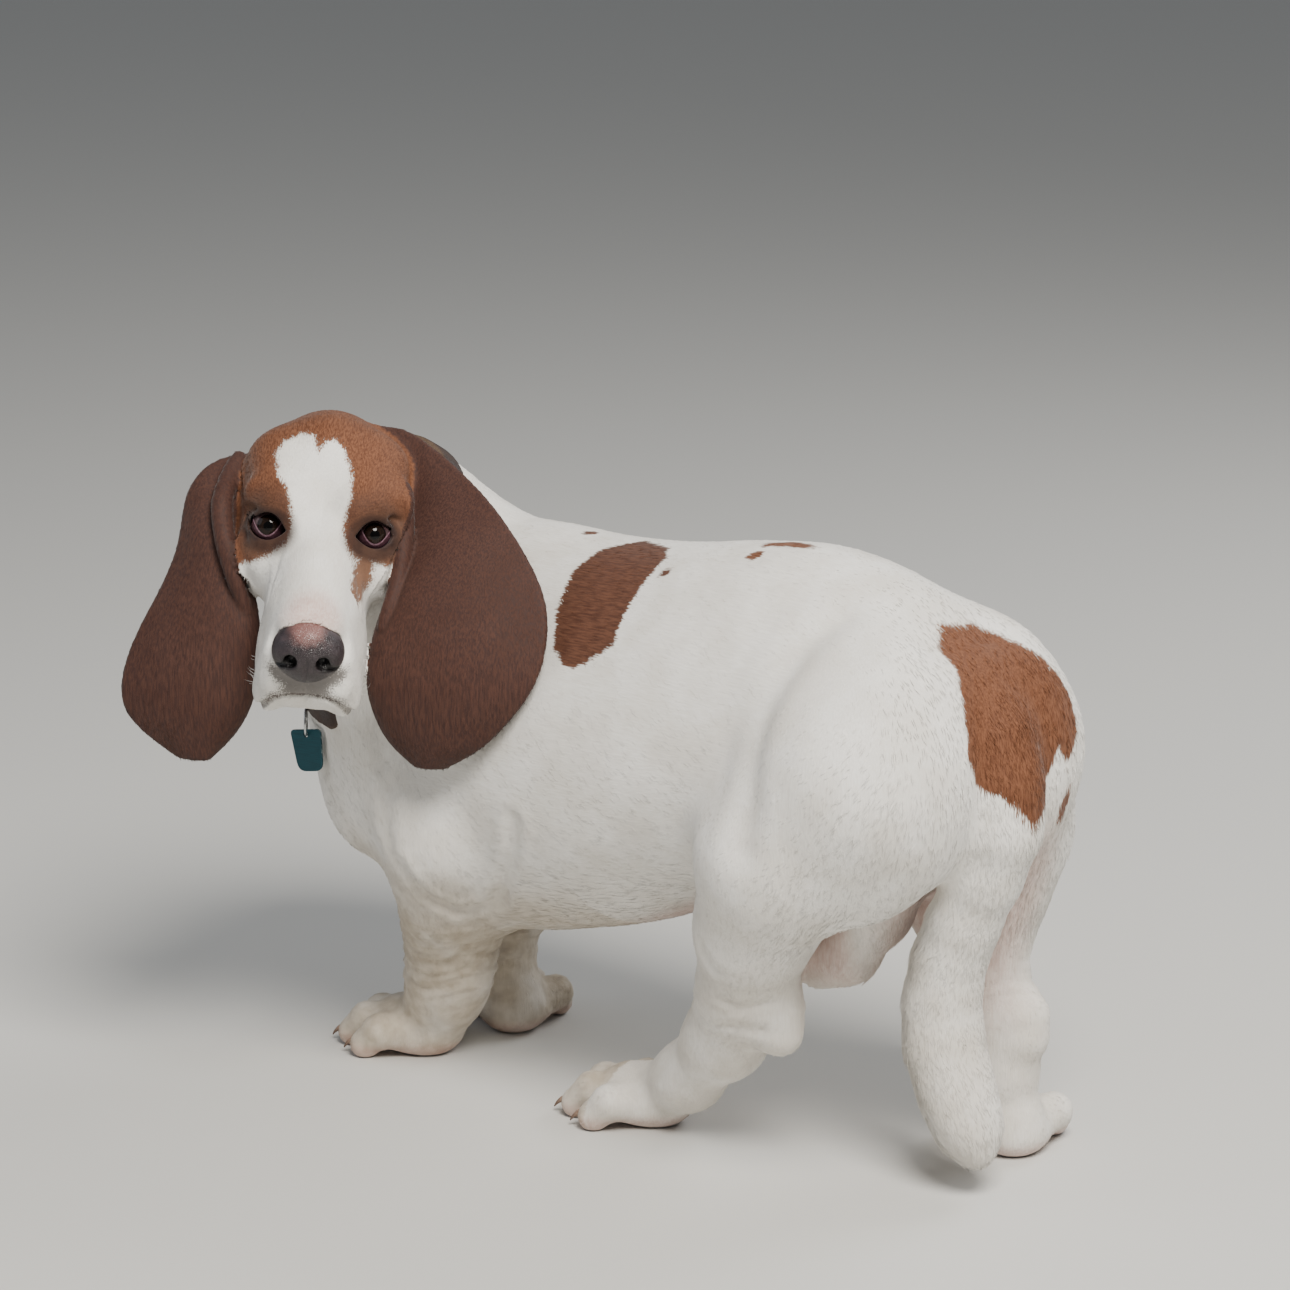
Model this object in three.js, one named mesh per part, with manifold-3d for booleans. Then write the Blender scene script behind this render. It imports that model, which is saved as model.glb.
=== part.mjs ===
// Basset hound standing on four short legs, looking back over its left side.
// Millimetres, +Z up. The dog faces -X and its left side is -Y while it is modelled; at the end the
// group is shifted so that its origin lies at the middle of its footprint, on the floor.
import * as THREE from 'three';
import Module from 'manifold-3d';
import { mergeVertices } from 'three/addons/utils/BufferGeometryUtils.js';

const wasm = await Module();
wasm.setup();

// Driving dimensions
const GAP = 0.3;              // clearance between touching nodes
const WITHERS = 351;          // height of the back over the shoulders
const LOIN = 377;             // highest point of the back
const CHEST_LOW = 95;         // underside of the brisket
const CHEST_HALF = 106;       // half the width of the rib cage
const FORE_X = -46;           // front end of the trunk's axis
const CHEST_CAP = 54;         // how far the round chest goes past it
const RUMP_X = 411;           // rear end of the trunk's axis
const RUMP_CAP = 28;          // how far the round rump goes past it
const SOLE = 0;               // level of the soles
const SOLE_SINK = 2.5;        // how far a pad is flattened by the floor
const EYE_GAP = 68;           // between the centres of the eyes
const EYE_R = 11.5;           // eyeball
const EAR_THICK = 5.4;        // ear leather with its hair
const PAW_LENGTH = 72;        // from the heel to the ends of the middle toes
const TOE_R = 11.5;           // middle of a toe
const CLAW = 11.5;            // length of a claw
const CLAW_R = 3.2;           // its radius at the root
const CLAW_TIP_R = 0.9;
const NOSE = [96, 0, -34.5];  // middle of the nose leather, in the frame of the head
const NOSE_R = [19, 22.5, 20.5];
const TAG_W = 23;
const TAG_H = 27;
const TAG_T = 1.6;
const TAG_HOLE_R = 1.7;
const RING_R = 8;
const RING_TUBE = 0.9;        // radius of the ring's wire
const COLLAR_W = 20;
const COLLAR_T = 3;

// How softly one form runs into the next
const FILLET = {
  neck: 30, body: 26, limb: 22, shoulder: 20, head: 16, sheath: 14, tail: 10, ankle: 8, toe: 3.5,
};

// Where the head is, and how it is turned: the muzzle points back past the left shoulder
const HEAD_AT = [34, -159, 369];
const HEAD_HEADING = -44.7;
const HEAD_PITCH = 12.1;
const HEAD_ROLL = -5.2;

const rad = (degrees) => (degrees * Math.PI) / 180;
const clamp = (v, lo, hi) => Math.min(Math.max(v, lo), hi);

// Fields: each is a function of a point that gives its distance to a form, negative inside

// A ball with three different radii, turned about X, Y and Z in that order
function egg(centre, radii, turn = [0, 0, 0]) {
  const [cx, cy, cz] = centre;
  const [rx, ry, rz] = radii;
  const spin = new THREE.Matrix4().makeRotationFromEuler(
    new THREE.Euler(rad(turn[0]), rad(turn[1]), rad(turn[2]), 'ZYX'));
  const m = spin.transpose().elements;
  return (x, y, z) => {
    const dx = x - cx;
    const dy = y - cy;
    const dz = z - cz;
    const px = m[0] * dx + m[4] * dy + m[8] * dz;
    const py = m[1] * dx + m[5] * dy + m[9] * dz;
    const pz = m[2] * dx + m[6] * dy + m[10] * dz;
    const k0 = Math.hypot(px / rx, py / ry, pz / rz);
    const k1 = Math.hypot(px / rx ** 2, py / ry ** 2, pz / rz ** 2);
    return k1 < 1e-9 ? -Math.min(rx, ry, rz) : (k0 * (k0 - 1)) / k1;
  };
}

// A length of limb that tapers from radius ra at a to radius rb at b, with round ends
function limb(a, b, ra, rb) {
  const ba = [b[0] - a[0], b[1] - a[1], b[2] - a[2]];
  const l2 = ba[0] ** 2 + ba[1] ** 2 + ba[2] ** 2;
  const dr = ra - rb;
  const a2 = l2 - dr * dr;
  const il2 = 1 / l2;
  return (x, y, z) => {
    const px = x - a[0];
    const py = y - a[1];
    const pz = z - a[2];
    const h = px * ba[0] + py * ba[1] + pz * ba[2];
    const g = h - l2;
    const x2 = (px * l2 - ba[0] * h) ** 2 + (py * l2 - ba[1] * h) ** 2 + (pz * l2 - ba[2] * h) ** 2;
    const h2 = h * h * l2;
    const g2 = g * g * l2;
    const k = Math.sign(dr) * dr * dr * x2;
    if (Math.sign(g) * a2 * g2 > k) return Math.sqrt(x2 + g2) * il2 - rb;
    if (Math.sign(h) * a2 * h2 < k) return Math.sqrt(x2 + h2) * il2 - ra;
    return (Math.sqrt(x2 * a2 * il2) + h * dr) * il2 - ra;
  };
}

const softMin = (a, b, k) => {
  const h = Math.max(k - Math.abs(a - b), 0) / k;
  return Math.min(a, b) - (h * h * k) / 4;
};

// Joins forms with a fillet of about k
function blend(k, ...forms) {
  return (x, y, z) => {
    let d = forms[0](x, y, z);
    for (let i = 1; i < forms.length; i += 1) d = softMin(d, forms[i](x, y, z), k);
    return d;
  };
}

// Takes a form out of another, with a rounded edge of about k
function carve(k, form, tool) {
  return (x, y, z) => -softMin(-form(x, y, z), tool(x, y, z), k);
}

// A limb of several lengths through points [x, y, z, radius]
function chain(k, points) {
  const lengths = points.slice(1).map((q, i) => limb(points[i], q, points[i][3], q[3]));
  return blend(k, ...lengths);
}

// The same form on the left (+y) and right (-y) of a plane of symmetry
const mirrored = (form) => (x, y, z) => form(x, Math.abs(y), z);

// Smooth curve through [x, value] pairs
function curve(pairs) {
  const xs = pairs.map((q) => q[0]);
  const line = new THREE.CubicInterpolant(xs, pairs.map((q) => q[1]), 1);
  return (x) => line.evaluate(clamp(x, xs[0], xs[xs.length - 1]))[0];
}

// Trunk: an oval section whose top, underside and half width change along X
const backLine = curve([[-60, WITHERS - 22], [0, WITHERS], [60, 356], [120, 356], [180, 361], [240, 371],
  [300, LOIN], [345, 371], [385, 356], [RUMP_X, 334]]);
const underLine = curve([[-60, 124], [0, CHEST_LOW + 2], [76, CHEST_LOW + 1], [120, 106], [180, 124],
  [235, 149], [300, 172], [360, 186], [RUMP_X, 205]]);
const halfWidth = curve([[-60, 62], [0, 92], [70, CHEST_HALF], [150, 109], [220, 104], [300, 92],
  [360, 84], [RUMP_X, 64]]);

function trunk(x, y, z) {
  const at = clamp(x, FORE_X, RUMP_X);
  const top = backLine(at);
  const low = underLine(at);
  const h = (top - low) / 2;
  const w = halfWidth(at);
  const cap = x < FORE_X ? CHEST_CAP : RUMP_CAP;
  const past = (x - at) / cap;
  const zn = (z - low - h) / h;
  const yn = y / (w * (1 - 0.1 * clamp(zn, -1, 1)));
  const k0 = Math.hypot(past, yn, zn);
  const k1 = Math.hypot(past / cap, yn / w, zn / h);
  return k1 < 1e-9 ? -Math.min(w, h) : (k0 * (k0 - 1)) / k1;
}

// Head, in its own frame: x along the muzzle, y to the dog's left, z up, origin midway between the eyes
const cranium = blend(18,
  egg([-58, 0, 2], [58, 46, 47]),
  limb([-55, 0, 28], [-108, 0, 10], 18, 14),
  mirrored(limb([-6, 24, 14], [-52, 30, 20], 15, 19)),
  mirrored(egg([-32, 33, -22], [44, 19, 32])));
const muzzle = blend(14,
  limb([-8, 0, -24], [86, 0, -30], 31, 21),
  limb([10, 0, -6], [84, 0, -24], 14, 14),
  limb([-20, 0, -54], [70, 0, -67], 26, 12),
  mirrored(limb([64, 6, -68], [76, 7, -69], 12, 9.5)));
const flews = mirrored(blend(10,
  egg([44, 25, -57], [44, 12, 36], [6, 0, -4]),
  limb([82, 14, -46], [68, 22, -75], 14, 11)));
const nosePad = blend(6,
  egg([94, 0, -34.5], [16, 18, 18.5]),
  mirrored(egg([93, 10, -32.5], [13.5, 11, 13])));
const mouthCut = mirrored(chain(2, [
  [92, 0, -61.5, 1.5],
  [89, 10, -63, 1.6],
  [80, 19, -74, 2],
  [66, 28, -84, 2.2],
  [30, 33, -84, 2],
]));
const lids = mirrored(blend(3,
  chain(3, [[2, 21.5, -2, 2.4], [1, 27, 8, 3], [-2, 35, 9.5, 3.2], [-8, 44, 0, 2.6]]),
  chain(3, [[2, 21.5, -2, 2.4], [5, 28, -6.5, 2.8], [3, 36, -7, 3], [-8, 44, -1, 2.6]])));
const eyeAt = [-6, EYE_GAP / 2 - 3, -1];
const eyeSlit = mirrored(egg([7, 32, 1.5], [11, 10.5, 7]));
const brows = mirrored(limb([-2, 20, 15], [-16, 40, 16], 9, 8));

const face = blend(10, blend(20, cranium, muzzle), flews, brows);
const nostrils = mirrored(blend(2,
  egg([108, 9.5, -35.7], [6, 4, 4.6]),
  limb([106, 11, -37.5], [99, 19.5, -40.5], 2.2, 1.4)));
const headForm = carve(2, carve(2, blend(2.5, face, lids, nosePad), mouthCut), eyeSlit);
const headLocal = carve(1.5, headForm, nostrils);

const headFrame = new THREE.Matrix4().makeRotationFromEuler(
  new THREE.Euler(rad(HEAD_ROLL), rad(HEAD_PITCH), rad(HEAD_HEADING), 'ZYX')).setPosition(...HEAD_AT);
const toHead = headFrame.clone().invert().elements;
const headWorld = (x, y, z) => headLocal(
  toHead[0] * x + toHead[4] * y + toHead[8] * z + toHead[12],
  toHead[1] * x + toHead[5] * y + toHead[9] * z + toHead[13],
  toHead[2] * x + toHead[6] * y + toHead[10] * z + toHead[14]);
const onHead = (x, y, z) => new THREE.Vector3(x, y, z).applyMatrix4(headFrame).toArray();

// Neck: rises from the shoulders and bends to the left, with the loose skin of the throat under it
const nape = onHead(-92, 0, -14);
const jaw = onHead(-44, 0, -44);
const neck = blend(FILLET.neck,
  chain(FILLET.neck, [[-34, 0, 276, 80], [-38, -32, 316, 68], [-36, -64, 346, 58], [...nape, 44]]),
  limb([-42, -36, 214], jaw, 47, 34));
const foreChest = egg([-54, -8, 177], [58, 60, 50]);

// Legs. Each paw is [heel x, heel y, heading], with the toes fanned out in front of it
const LEGS = {
  fore_left: {
    bones: [[0, -64, 246, 46], [56, -76, 172, 40], [42, -62, 130, 32], [24, -47, 100, 27],
      [14, -38, 68, 24], [4, -34, 44, 21], [-8, -33, 26, 20]],
    knob: [30, -38, 58, 9],
    paw: [-6, -32, 197],
  },
  fore_right: {
    bones: [[-16, 64, 246, 46], [34, 76, 172, 40], [14, 62, 130, 32], [-16, 46, 92, 25],
      [-26, 36, 62, 22], [-20, 34, 40, 19], [-12, 36, 24, 19]],
    knob: [-6, 30, 54, 9],
    paw: [-2, 32, 136],
  },
  hind_left: {
    bones: [[380, -56, 262, 58], [332, -70, 208, 46], [304, -62, 158, 32], [284, -48, 112, 26],
      [258, -38, 74, 22], [220, -31, 38, 18], [190, -26, 20, 16]],
    knob: [308, -44, 90, 15],
    paw: [196, -24, 200],
  },
  hind_right: {
    bones: [[378, 54, 262, 57], [358, 80, 204, 49], [350, 82, 158, 38], [359, 80, 118, 21],
      [370, 83, 86, 20], [374, 84, 54, 17], [374, 86, 28, 18]],
    knob: [392, 84, 78, 13],
    paw: [384, 84, 138],
  },
};

// Frame of a paw: x toward the toes, y to the dog's left of them
function pawPoint(paw, along, across, up) {
  const a = rad(paw[2]);
  return [paw[0] + along * Math.cos(a) - across * Math.sin(a),
    paw[1] + along * Math.sin(a) + across * Math.cos(a), up];
}

// The four toes as [share of the paw's length, place across it], inner and outer ones set back
const TOES = [[0.72, -27], [1, -9.5], [1, 9.5], [0.72, 27]];

function pawForm(paw) {
  const spots = (along, across, up, r) => [...pawPoint(paw, along, across, up), r];
  const body = chain(12, [spots(4, 0, 20, 19), spots(PAW_LENGTH * 0.34, 0, 17, 20)]);
  const toes = TOES.map(([reach, across]) => chain(4, [
    spots(PAW_LENGTH * 0.3, across * 0.75, 17, TOE_R + 1.5),
    spots(PAW_LENGTH * (reach - 0.34), across, 18, TOE_R),
    spots(PAW_LENGTH * (reach - 0.19), across * 1.04, TOE_R - 1 - SOLE_SINK, TOE_R - 1)]));
  const pad = egg(pawPoint(paw, PAW_LENGTH * 0.12, 0, 12), [22, 24, 12 + SOLE_SINK]);
  return blend(FILLET.ankle, blend(FILLET.toe, ...toes), body, pad);
}

function legForm({ bones, knob, paw }) {
  return blend(FILLET.ankle, blend(14, chain(FILLET.limb, bones), limb(knob.slice(0, 3),
    [knob[0], knob[1], knob[2] + 12], knob[3], knob[3])), pawForm(paw));
}

// Tail: hangs from the rump and curves in, then back out at its tip
const TAIL = [[400, 4, 312, 24], [424, 4, 282, 24], [434, 4, 256, 22], [434, 5, 230, 21], [422, 6, 200, 19],
  [407, 7, 169, 18], [395, 8, 142, 18], [389, 9, 115, 19], [391, 10, 88, 20], [400, 11, 62, 19],
  [409, 12, 42, 16], [414, 12, 30, 11]];
const tailForm = chain(18, TAIL);

const shoulders = mirrored(egg([2, 68, 230], [60, 37, 90], [10, 14, 0]));
const haunches = mirrored(egg([378, 46, 258], [62, 48, 86], [0, 12, 0]));
const sheath = chain(14, [[372, 2, 204, 20], [342, 2, 164, 20], [320, 0, 134, 19], [302, -2, 121, 15]]);

const body = blend(FILLET.body, trunk, foreChest, haunches, blend(FILLET.shoulder, shoulders, neck));
const legForms = Object.fromEntries(Object.entries(LEGS).map(([name, leg]) => [name, legForm(leg)]));
const legs = (x, y, z) => Math.min(...Object.values(legForms).map((leg) => leg(x, y, z)));
const limbed = blend(FILLET.limb, body, legs);
const flesh = blend(FILLET.sheath, limbed, sheath);
const rearFlesh = blend(FILLET.tail, flesh, tailForm);
const wholeDog = blend(FILLET.head, rearFlesh, headWorld);

// Meshing: one point in every lattice cell that the surface crosses, moved onto the surface

const CORNERS = [0, 1, 2, 3, 4, 5, 6, 7].map((i) => [i & 1, (i >> 1) & 1, (i >> 2) & 1]);

// True where the corners of one sign in a cell don't hang together, or lie across from each other on a face
function isSplit(mask) {
  const sign = (i) => (mask >> i) & 1;
  const joined = (wanted) => {
    const members = [0, 1, 2, 3, 4, 5, 6, 7].filter((i) => sign(i) === wanted);
    const seen = new Set(members.slice(0, 1));
    for (let pass = 0; pass < 8; pass += 1) {
      for (const i of members) {
        if ([1, 2, 4].some((bit) => seen.has(i ^ bit))) seen.add(i);
      }
    }
    return seen.size === members.length;
  };
  const crossed = [[1, 2, 4], [2, 4, 1], [4, 1, 2]].some(([a, b, c]) => [0, c].some((base) => (
    sign(base) === sign(base + a + b) && sign(base + a) === sign(base + b)
    && sign(base) !== sign(base + a))));
  return crossed || !joined(1) || !joined(0);
}
const SPLIT = Array.from({ length: 256 }, (_, mask) => isSplit(mask));

// Lattice lines from lo to hi whose step is given by a function of the place
function lattice(lo, hi, step) {
  const lines = [lo];
  while (lines[lines.length - 1] < hi) {
    const at = lines[lines.length - 1];
    lines.push(at + (typeof step === 'function' ? step(at) : step));
  }
  return lines;
}

// Every place of a lattice with these counts
function* places(nx, ny, nz) {
  for (let k = 0; k < nz; k += 1) {
    for (let j = 0; j < ny; j += 1) {
      for (let i = 0; i < nx; i += 1) yield [i, j, k];
    }
  }
}

// The field's value at each corner of a lattice, whose rim counts as outside
function sampled(field, lines) {
  const [xs, ys, zs] = lines;
  const size = lines.map((line) => line.length);
  const at = (i, j, k) => (k * size[1] + j) * size[0] + i;
  const isRim = (...place) => place.some((i, n) => i === 0 || i === size[n] - 1);
  const value = new Float64Array(size[0] * size[1] * size[2]);
  for (const [i, j, k] of places(...size)) {
    const d = field(xs[i], ys[j], zs[k]);
    value[at(i, j, k)] = isRim(i, j, k) ? Math.max(d, 1) : (d || 1e-6);
  }
  const mask = (i, j, k) => CORNERS.reduce((bits, [a, b, c], n) => (
    value[at(i + a, j + b, k + c)] < 0 ? bits | (1 << n) : bits), 0);
  return { lines, size, at, isRim, value, mask, cells: () => places(...size.map((n) => n - 1)) };
}

// Takes one more corner into the form wherever its surface would pinch in a cell
function mendSplitCells({ at, isRim, value, mask, cells }) {
  let mended = 1;
  for (let pass = 0; mended && pass < 20; pass += 1) {
    mended = 0;
    for (const [i, j, k] of cells()) {
      if (!SPLIT[mask(i, j, k)]) continue;
      const outer = CORNERS.map(([a, b, c]) => [i + a, j + b, k + c]).filter((corner) => !isRim(...corner))
        .map((corner) => at(...corner)).filter((n) => value[n] >= 0);
      value[outer.reduce((best, n) => (value[n] < value[best] ? n : best))] = -0.05;
      mended += 1;
    }
  }
}

// Middle of the places where the surface crosses a cell's edges
function crossing({ lines, at, value, mask }, [i, j, k]) {
  const bits = mask(i, j, k);
  const sum = [0, 0, 0];
  let count = 0;
  for (let n = 0; n < 8; n += 1) {
    for (const bit of [1, 2, 4]) {
      if (n & bit || ((bits >> n) & 1) === ((bits >> (n | bit)) & 1)) continue;
      const [from, to] = [CORNERS[n], CORNERS[n | bit]].map(([a, b, c]) => [i + a, j + b, k + c]);
      const v = value[at(...from)];
      const t = v / (v - value[at(...to)]);
      lines.forEach((line, axis) => {
        sum[axis] += line[from[axis]] + t * (line[to[axis]] - line[from[axis]]);
      });
      count += 1;
    }
  }
  return sum.map((v) => v / count);
}

// Moves a point onto the field's surface, by no more than reach in each of two steps
function settled(field, point, reach) {
  const e = 0.4;
  const p = [...point];
  for (let turn = 0; turn < 2; turn += 1) {
    const [x, y, z] = p;
    const slope = [field(x + e, y, z) - field(x - e, y, z), field(x, y + e, z) - field(x, y - e, z),
      field(x, y, z + e) - field(x, y, z - e)].map((d) => d / (2 * e));
    const steep = Math.hypot(...slope);
    const d = clamp(field(x, y, z) / Math.max(steep, 0.3), -reach, reach);
    for (let n = 0; n < 3; n += 1) p[n] -= (slope[n] * d) / Math.max(steep, 1e-6);
  }
  return p;
}

// For each direction of an edge, the four cells round it
const ROUND_EDGE = [
  [[1, 0, 0], [[0, 1, 1], [0, 0, 1], [0, 0, 0], [0, 1, 0]]],
  [[0, 1, 0], [[1, 0, 1], [1, 0, 0], [0, 0, 0], [0, 0, 1]]],
  [[0, 0, 1], [[1, 1, 0], [0, 1, 0], [0, 0, 0], [1, 0, 0]]],
];

// The closed surface of a field as a solid
function solidOf(field, lines, placing = new THREE.Matrix4()) {
  const grid = sampled(field, lines);
  mendSplitCells(grid);
  const { size, at, value } = grid;
  const points = [];
  const pointOf = new Map();
  for (const cell of grid.cells()) {
    const bits = grid.mask(...cell);
    if (bits === 0 || bits === 255) continue;
    const onRim = cell.some((i, n) => i === 0 || i === size[n] - 2);
    const reach = 0.3 * Math.min(...lines.map((line, n) => line[cell[n] + 1] - line[cell[n]]));
    const middle = crossing(grid, cell);
    pointOf.set(at(...cell), points.length / 3);
    points.push(...(onRim ? middle : settled(field, middle, reach)));
  }

  const faces = [];
  const far = (a, b) => Math.hypot(...[0, 1, 2].map((n) => points[3 * a + n] - points[3 * b + n]));
  for (const [i, j, k] of grid.cells()) {
    const here = value[at(i, j, k)] < 0;
    for (const [[a, b, c], around] of ROUND_EDGE) {
      if (around.some(([u, v, w]) => u > i || v > j || w > k)) continue;
      if (here === value[at(i + a, j + b, k + c)] < 0) continue;
      const ring = around.map(([u, v, w]) => pointOf.get(at(i - u, j - v, k - w)));
      const [p, q, r, s] = here ? ring : ring.reverse();
      if (far(p, r) <= far(q, s)) faces.push(p, q, r, p, r, s);
      else faces.push(p, q, s, q, r, s);
    }
  }
  return toSolid(placed(points, (point) => point.applyMatrix4(placing)), faces);
}

// Moves each point of a flat list
function placed(points, move) {
  const point = new THREE.Vector3();
  const out = new Float32Array(points.length);
  for (let i = 0; i < points.length; i += 3) move(point.fromArray(points, i)).toArray(out, i);
  return out;
}

function toSolid(points, faces) {
  const mesh = { numProp: 3, vertProperties: points, triVerts: new Uint32Array(faces) };
  return new wasm.Manifold(new wasm.Mesh(mesh));
}

// A closed three.js geometry as a solid, its faces without area left out
function fromGeometry(geometry, placing = new THREE.Matrix4()) {
  const bare = geometry.clone().applyMatrix4(placing);
  bare.deleteAttribute('normal');
  bare.deleteAttribute('uv');
  const merged = mergeVertices(bare, 1e-4);
  const all = merged.index.array;
  const faces = [];
  for (let i = 0; i < all.length; i += 3) {
    const [a, b, c] = all.slice(i, i + 3);
    if (a !== b && b !== c && c !== a) faces.push(a, b, c);
  }
  return toSolid(new Float32Array(merged.attributes.position.array), faces);
}

// The same solid with all its faces moved out by a gap, for cutting its neighbours clear of it
function grown(solid) {
  const { vertProperties, triVerts } = solid.getMesh();
  const shape = new THREE.BufferGeometry();
  shape.setAttribute('position', new THREE.BufferAttribute(new Float32Array(vertProperties), 3));
  shape.setIndex(new THREE.BufferAttribute(new Uint32Array(triVerts), 1));
  shape.computeVertexNormals();
  const { position, normal } = shape.attributes;
  const lean = new Float32Array(position.count).fill(1);
  const face = new THREE.Triangle();
  const [facing, own] = [new THREE.Vector3(), new THREE.Vector3()];
  for (let i = 0; i < triVerts.length; i += 3) {
    face.setFromAttributeAndIndices(position, triVerts[i], triVerts[i + 1], triVerts[i + 2]);
    if (face.getArea() < 1e-3) continue;
    face.getNormal(facing);
    for (const v of triVerts.slice(i, i + 3)) {
      lean[v] = Math.min(lean[v], facing.dot(own.fromBufferAttribute(normal, v)));
    }
  }
  const points = position.array.map((v, i) => (
    v + (normal.array[i] * GAP * 1.05) / clamp(lean[Math.floor(i / 3)], 0.3, 1)));
  return toSolid(points, triVerts);
}

// Cuts a solid clear of others that are there already
const clearOf = (solid, others) => others.reduce((rest, other) => (
  rest.subtract(grown(other)).subtract(other)), solid);

// The largest piece that a cut leaves
function largest(solid) {
  return solid.decompose().reduce((best, piece) => (piece.volume() > best.volume() ? piece : best));
}

// Keeps what lies ahead of a plane through a point, half a gap clear of it
function ahead(solid, point, normal) {
  const n = new THREE.Vector3(...normal).normalize();
  return solid.trimByPlane(n.toArray(), n.dot(new THREE.Vector3(...point)) + GAP / 2);
}
const behind = (solid, point, normal) => ahead(solid, point, normal.map((v) => -v));

// A slab as a cutter: its middle is at a point and its thickness lies along a direction
function slab(point, normal, [wide, deep, thick]) {
  const turn = new THREE.Quaternion().setFromUnitVectors(new THREE.Vector3(0, 0, 1),
    new THREE.Vector3(...normal).normalize());
  const placing = new THREE.Matrix4().compose(new THREE.Vector3(...point), turn, new THREE.Vector3(1, 1, 1));
  return fromGeometry(new THREE.BoxGeometry(wide, deep, thick), placing);
}

const box = (lo, hi, step) => lo.map((v, n) => lattice(v, hi[n], Array.isArray(step) ? step[n] : step));

// Where the nodes part
const NECK_CUT = { at: [44, 0, 343], normal: [-0.7, -0.12, 0.66] };
const HEAD_CUT = {
  at: onHead(-112, 0, 28),
  normal: new THREE.Vector3(0.84, 0, 0.54).transformDirection(headFrame).toArray(),
};

// Round sleeves that mark off each limb from the trunk
const SLEEVES = {
  fore_left: [[-4, -96, 232, 42], [54, -90, 172, 47], [42, -66, 130, 44], [22, -46, 98, 36],
    [6, -36, 30, 34]],
  fore_right: [[-14, 96, 232, 43], [34, 90, 172, 47], [14, 66, 130, 44], [-16, 48, 92, 36],
    [-20, 38, 30, 34]],
  hind_left: [[376, -92, 258, 58], [334, -88, 206, 58], [304, -66, 156, 55], [282, -48, 108, 46],
    [184, -26, 16, 36]],
  hind_right: [[376, 92, 258, 58], [358, 92, 204, 58], [353, 82, 156, 56], [366, 82, 110, 46],
    [376, 86, 20, 38]],
  tail: [[436, 4, 256, 38], [432, 4, 232, 33], [408, 7, 170, 30], [388, 9, 112, 30], [412, 12, 36, 30]],
};

const sleeves = Object.fromEntries(Object.entries(SLEEVES).map(([name, points]) => {
  const form = chain(18, points);
  const lo = [0, 1, 2].map((n) => Math.min(...points.map((q) => q[n] - q[3])) - 22);
  const hi = [0, 1, 2].map((n) => Math.max(...points.map((q) => q[n] + q[3])) + 22);
  const inside = solidOf(form, box(lo, hi, 24));
  return [name, { inside, outside: grown(inside) }];
}));
const clearOfLimbs = (solid) => Object.values(sleeves).reduce((rest, { outside }) => (
  rest.subtract(outside)), solid);

const parts = {};

const trunkSolid = solidOf(blend(FILLET.tail, limbed, tailForm),
  box([-160, -150, 60], [490, 160, 420], [30, 26, 26]));
parts.torso = largest(clearOfLimbs(behind(trunkSolid, NECK_CUT.at, NECK_CUT.normal)));

let neckSolid = solidOf(wholeDog, box([-180, -230, 140], [90, 115, 468], 21));
neckSolid = behind(ahead(neckSolid, NECK_CUT.at, NECK_CUT.normal), HEAD_CUT.at, HEAD_CUT.normal);
parts.neck = largest(clearOfLimbs(neckSolid));

// The head is meshed in its own frame, finer round the eyes, nose and mouth
const inWorld = headFrame.elements;
const headNode = (x, y, z) => softMin(headLocal(x, y, z), neck(
  inWorld[0] * x + inWorld[4] * y + inWorld[8] * z + inWorld[12],
  inWorld[1] * x + inWorld[5] * y + inWorld[9] * z + inWorld[13],
  inWorld[2] * x + inWorld[6] * y + inWorld[10] * z + inWorld[14]), FILLET.head);
const fineAhead = (x) => (x < -30 ? 17 : (x < -14 ? 10 : 8.6));
const fineMiddle = (y) => (Math.abs(y + 3) < 46 ? 8.6 : 14);
const fineFace = (z) => (z < 16 ? 8.6 : 15);
let headSolid = solidOf(headNode, [lattice(-142, 128, fineAhead), lattice(-82, 86, fineMiddle),
  lattice(-116, 90, fineFace)], headFrame);
headSolid = ahead(headSolid, HEAD_CUT.at, HEAD_CUT.normal);
const trunkSide = new THREE.Vector3(...NECK_CUT.normal).normalize().multiplyScalar(GAP / 2 - 150);
headSolid = clearOf(headSolid.subtract(slab(trunkSide.add(new THREE.Vector3(...NECK_CUT.at)).toArray(),
  NECK_CUT.normal, [500, 216, 300])), [parts.torso]);

// A ball with three radii in the frame of the head, as a solid
function headBall(centre, radii, across, up) {
  const shape = new THREE.SphereGeometry(1, across, up).scale(...radii).translate(...centre);
  return fromGeometry(shape, headFrame);
}
for (const [side, mirror] of [['left', 1], ['right', -1]]) {
  const centre = [eyeAt[0], eyeAt[1] * mirror, eyeAt[2]];
  parts[`eye_${side}`] = headBall(centre, [EYE_R, EYE_R, EYE_R], 12, 8);
  headSolid = headSolid.subtract(headBall(centre, Array(3).fill(EYE_R + GAP), 12, 8));
}
parts.nose = largest(headSolid.intersect(headBall(NOSE, NOSE_R, 14, 10)));
parts.head = largest(headSolid.subtract(headBall(NOSE, NOSE_R.map((r) => r + GAP), 14, 10)));

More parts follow.
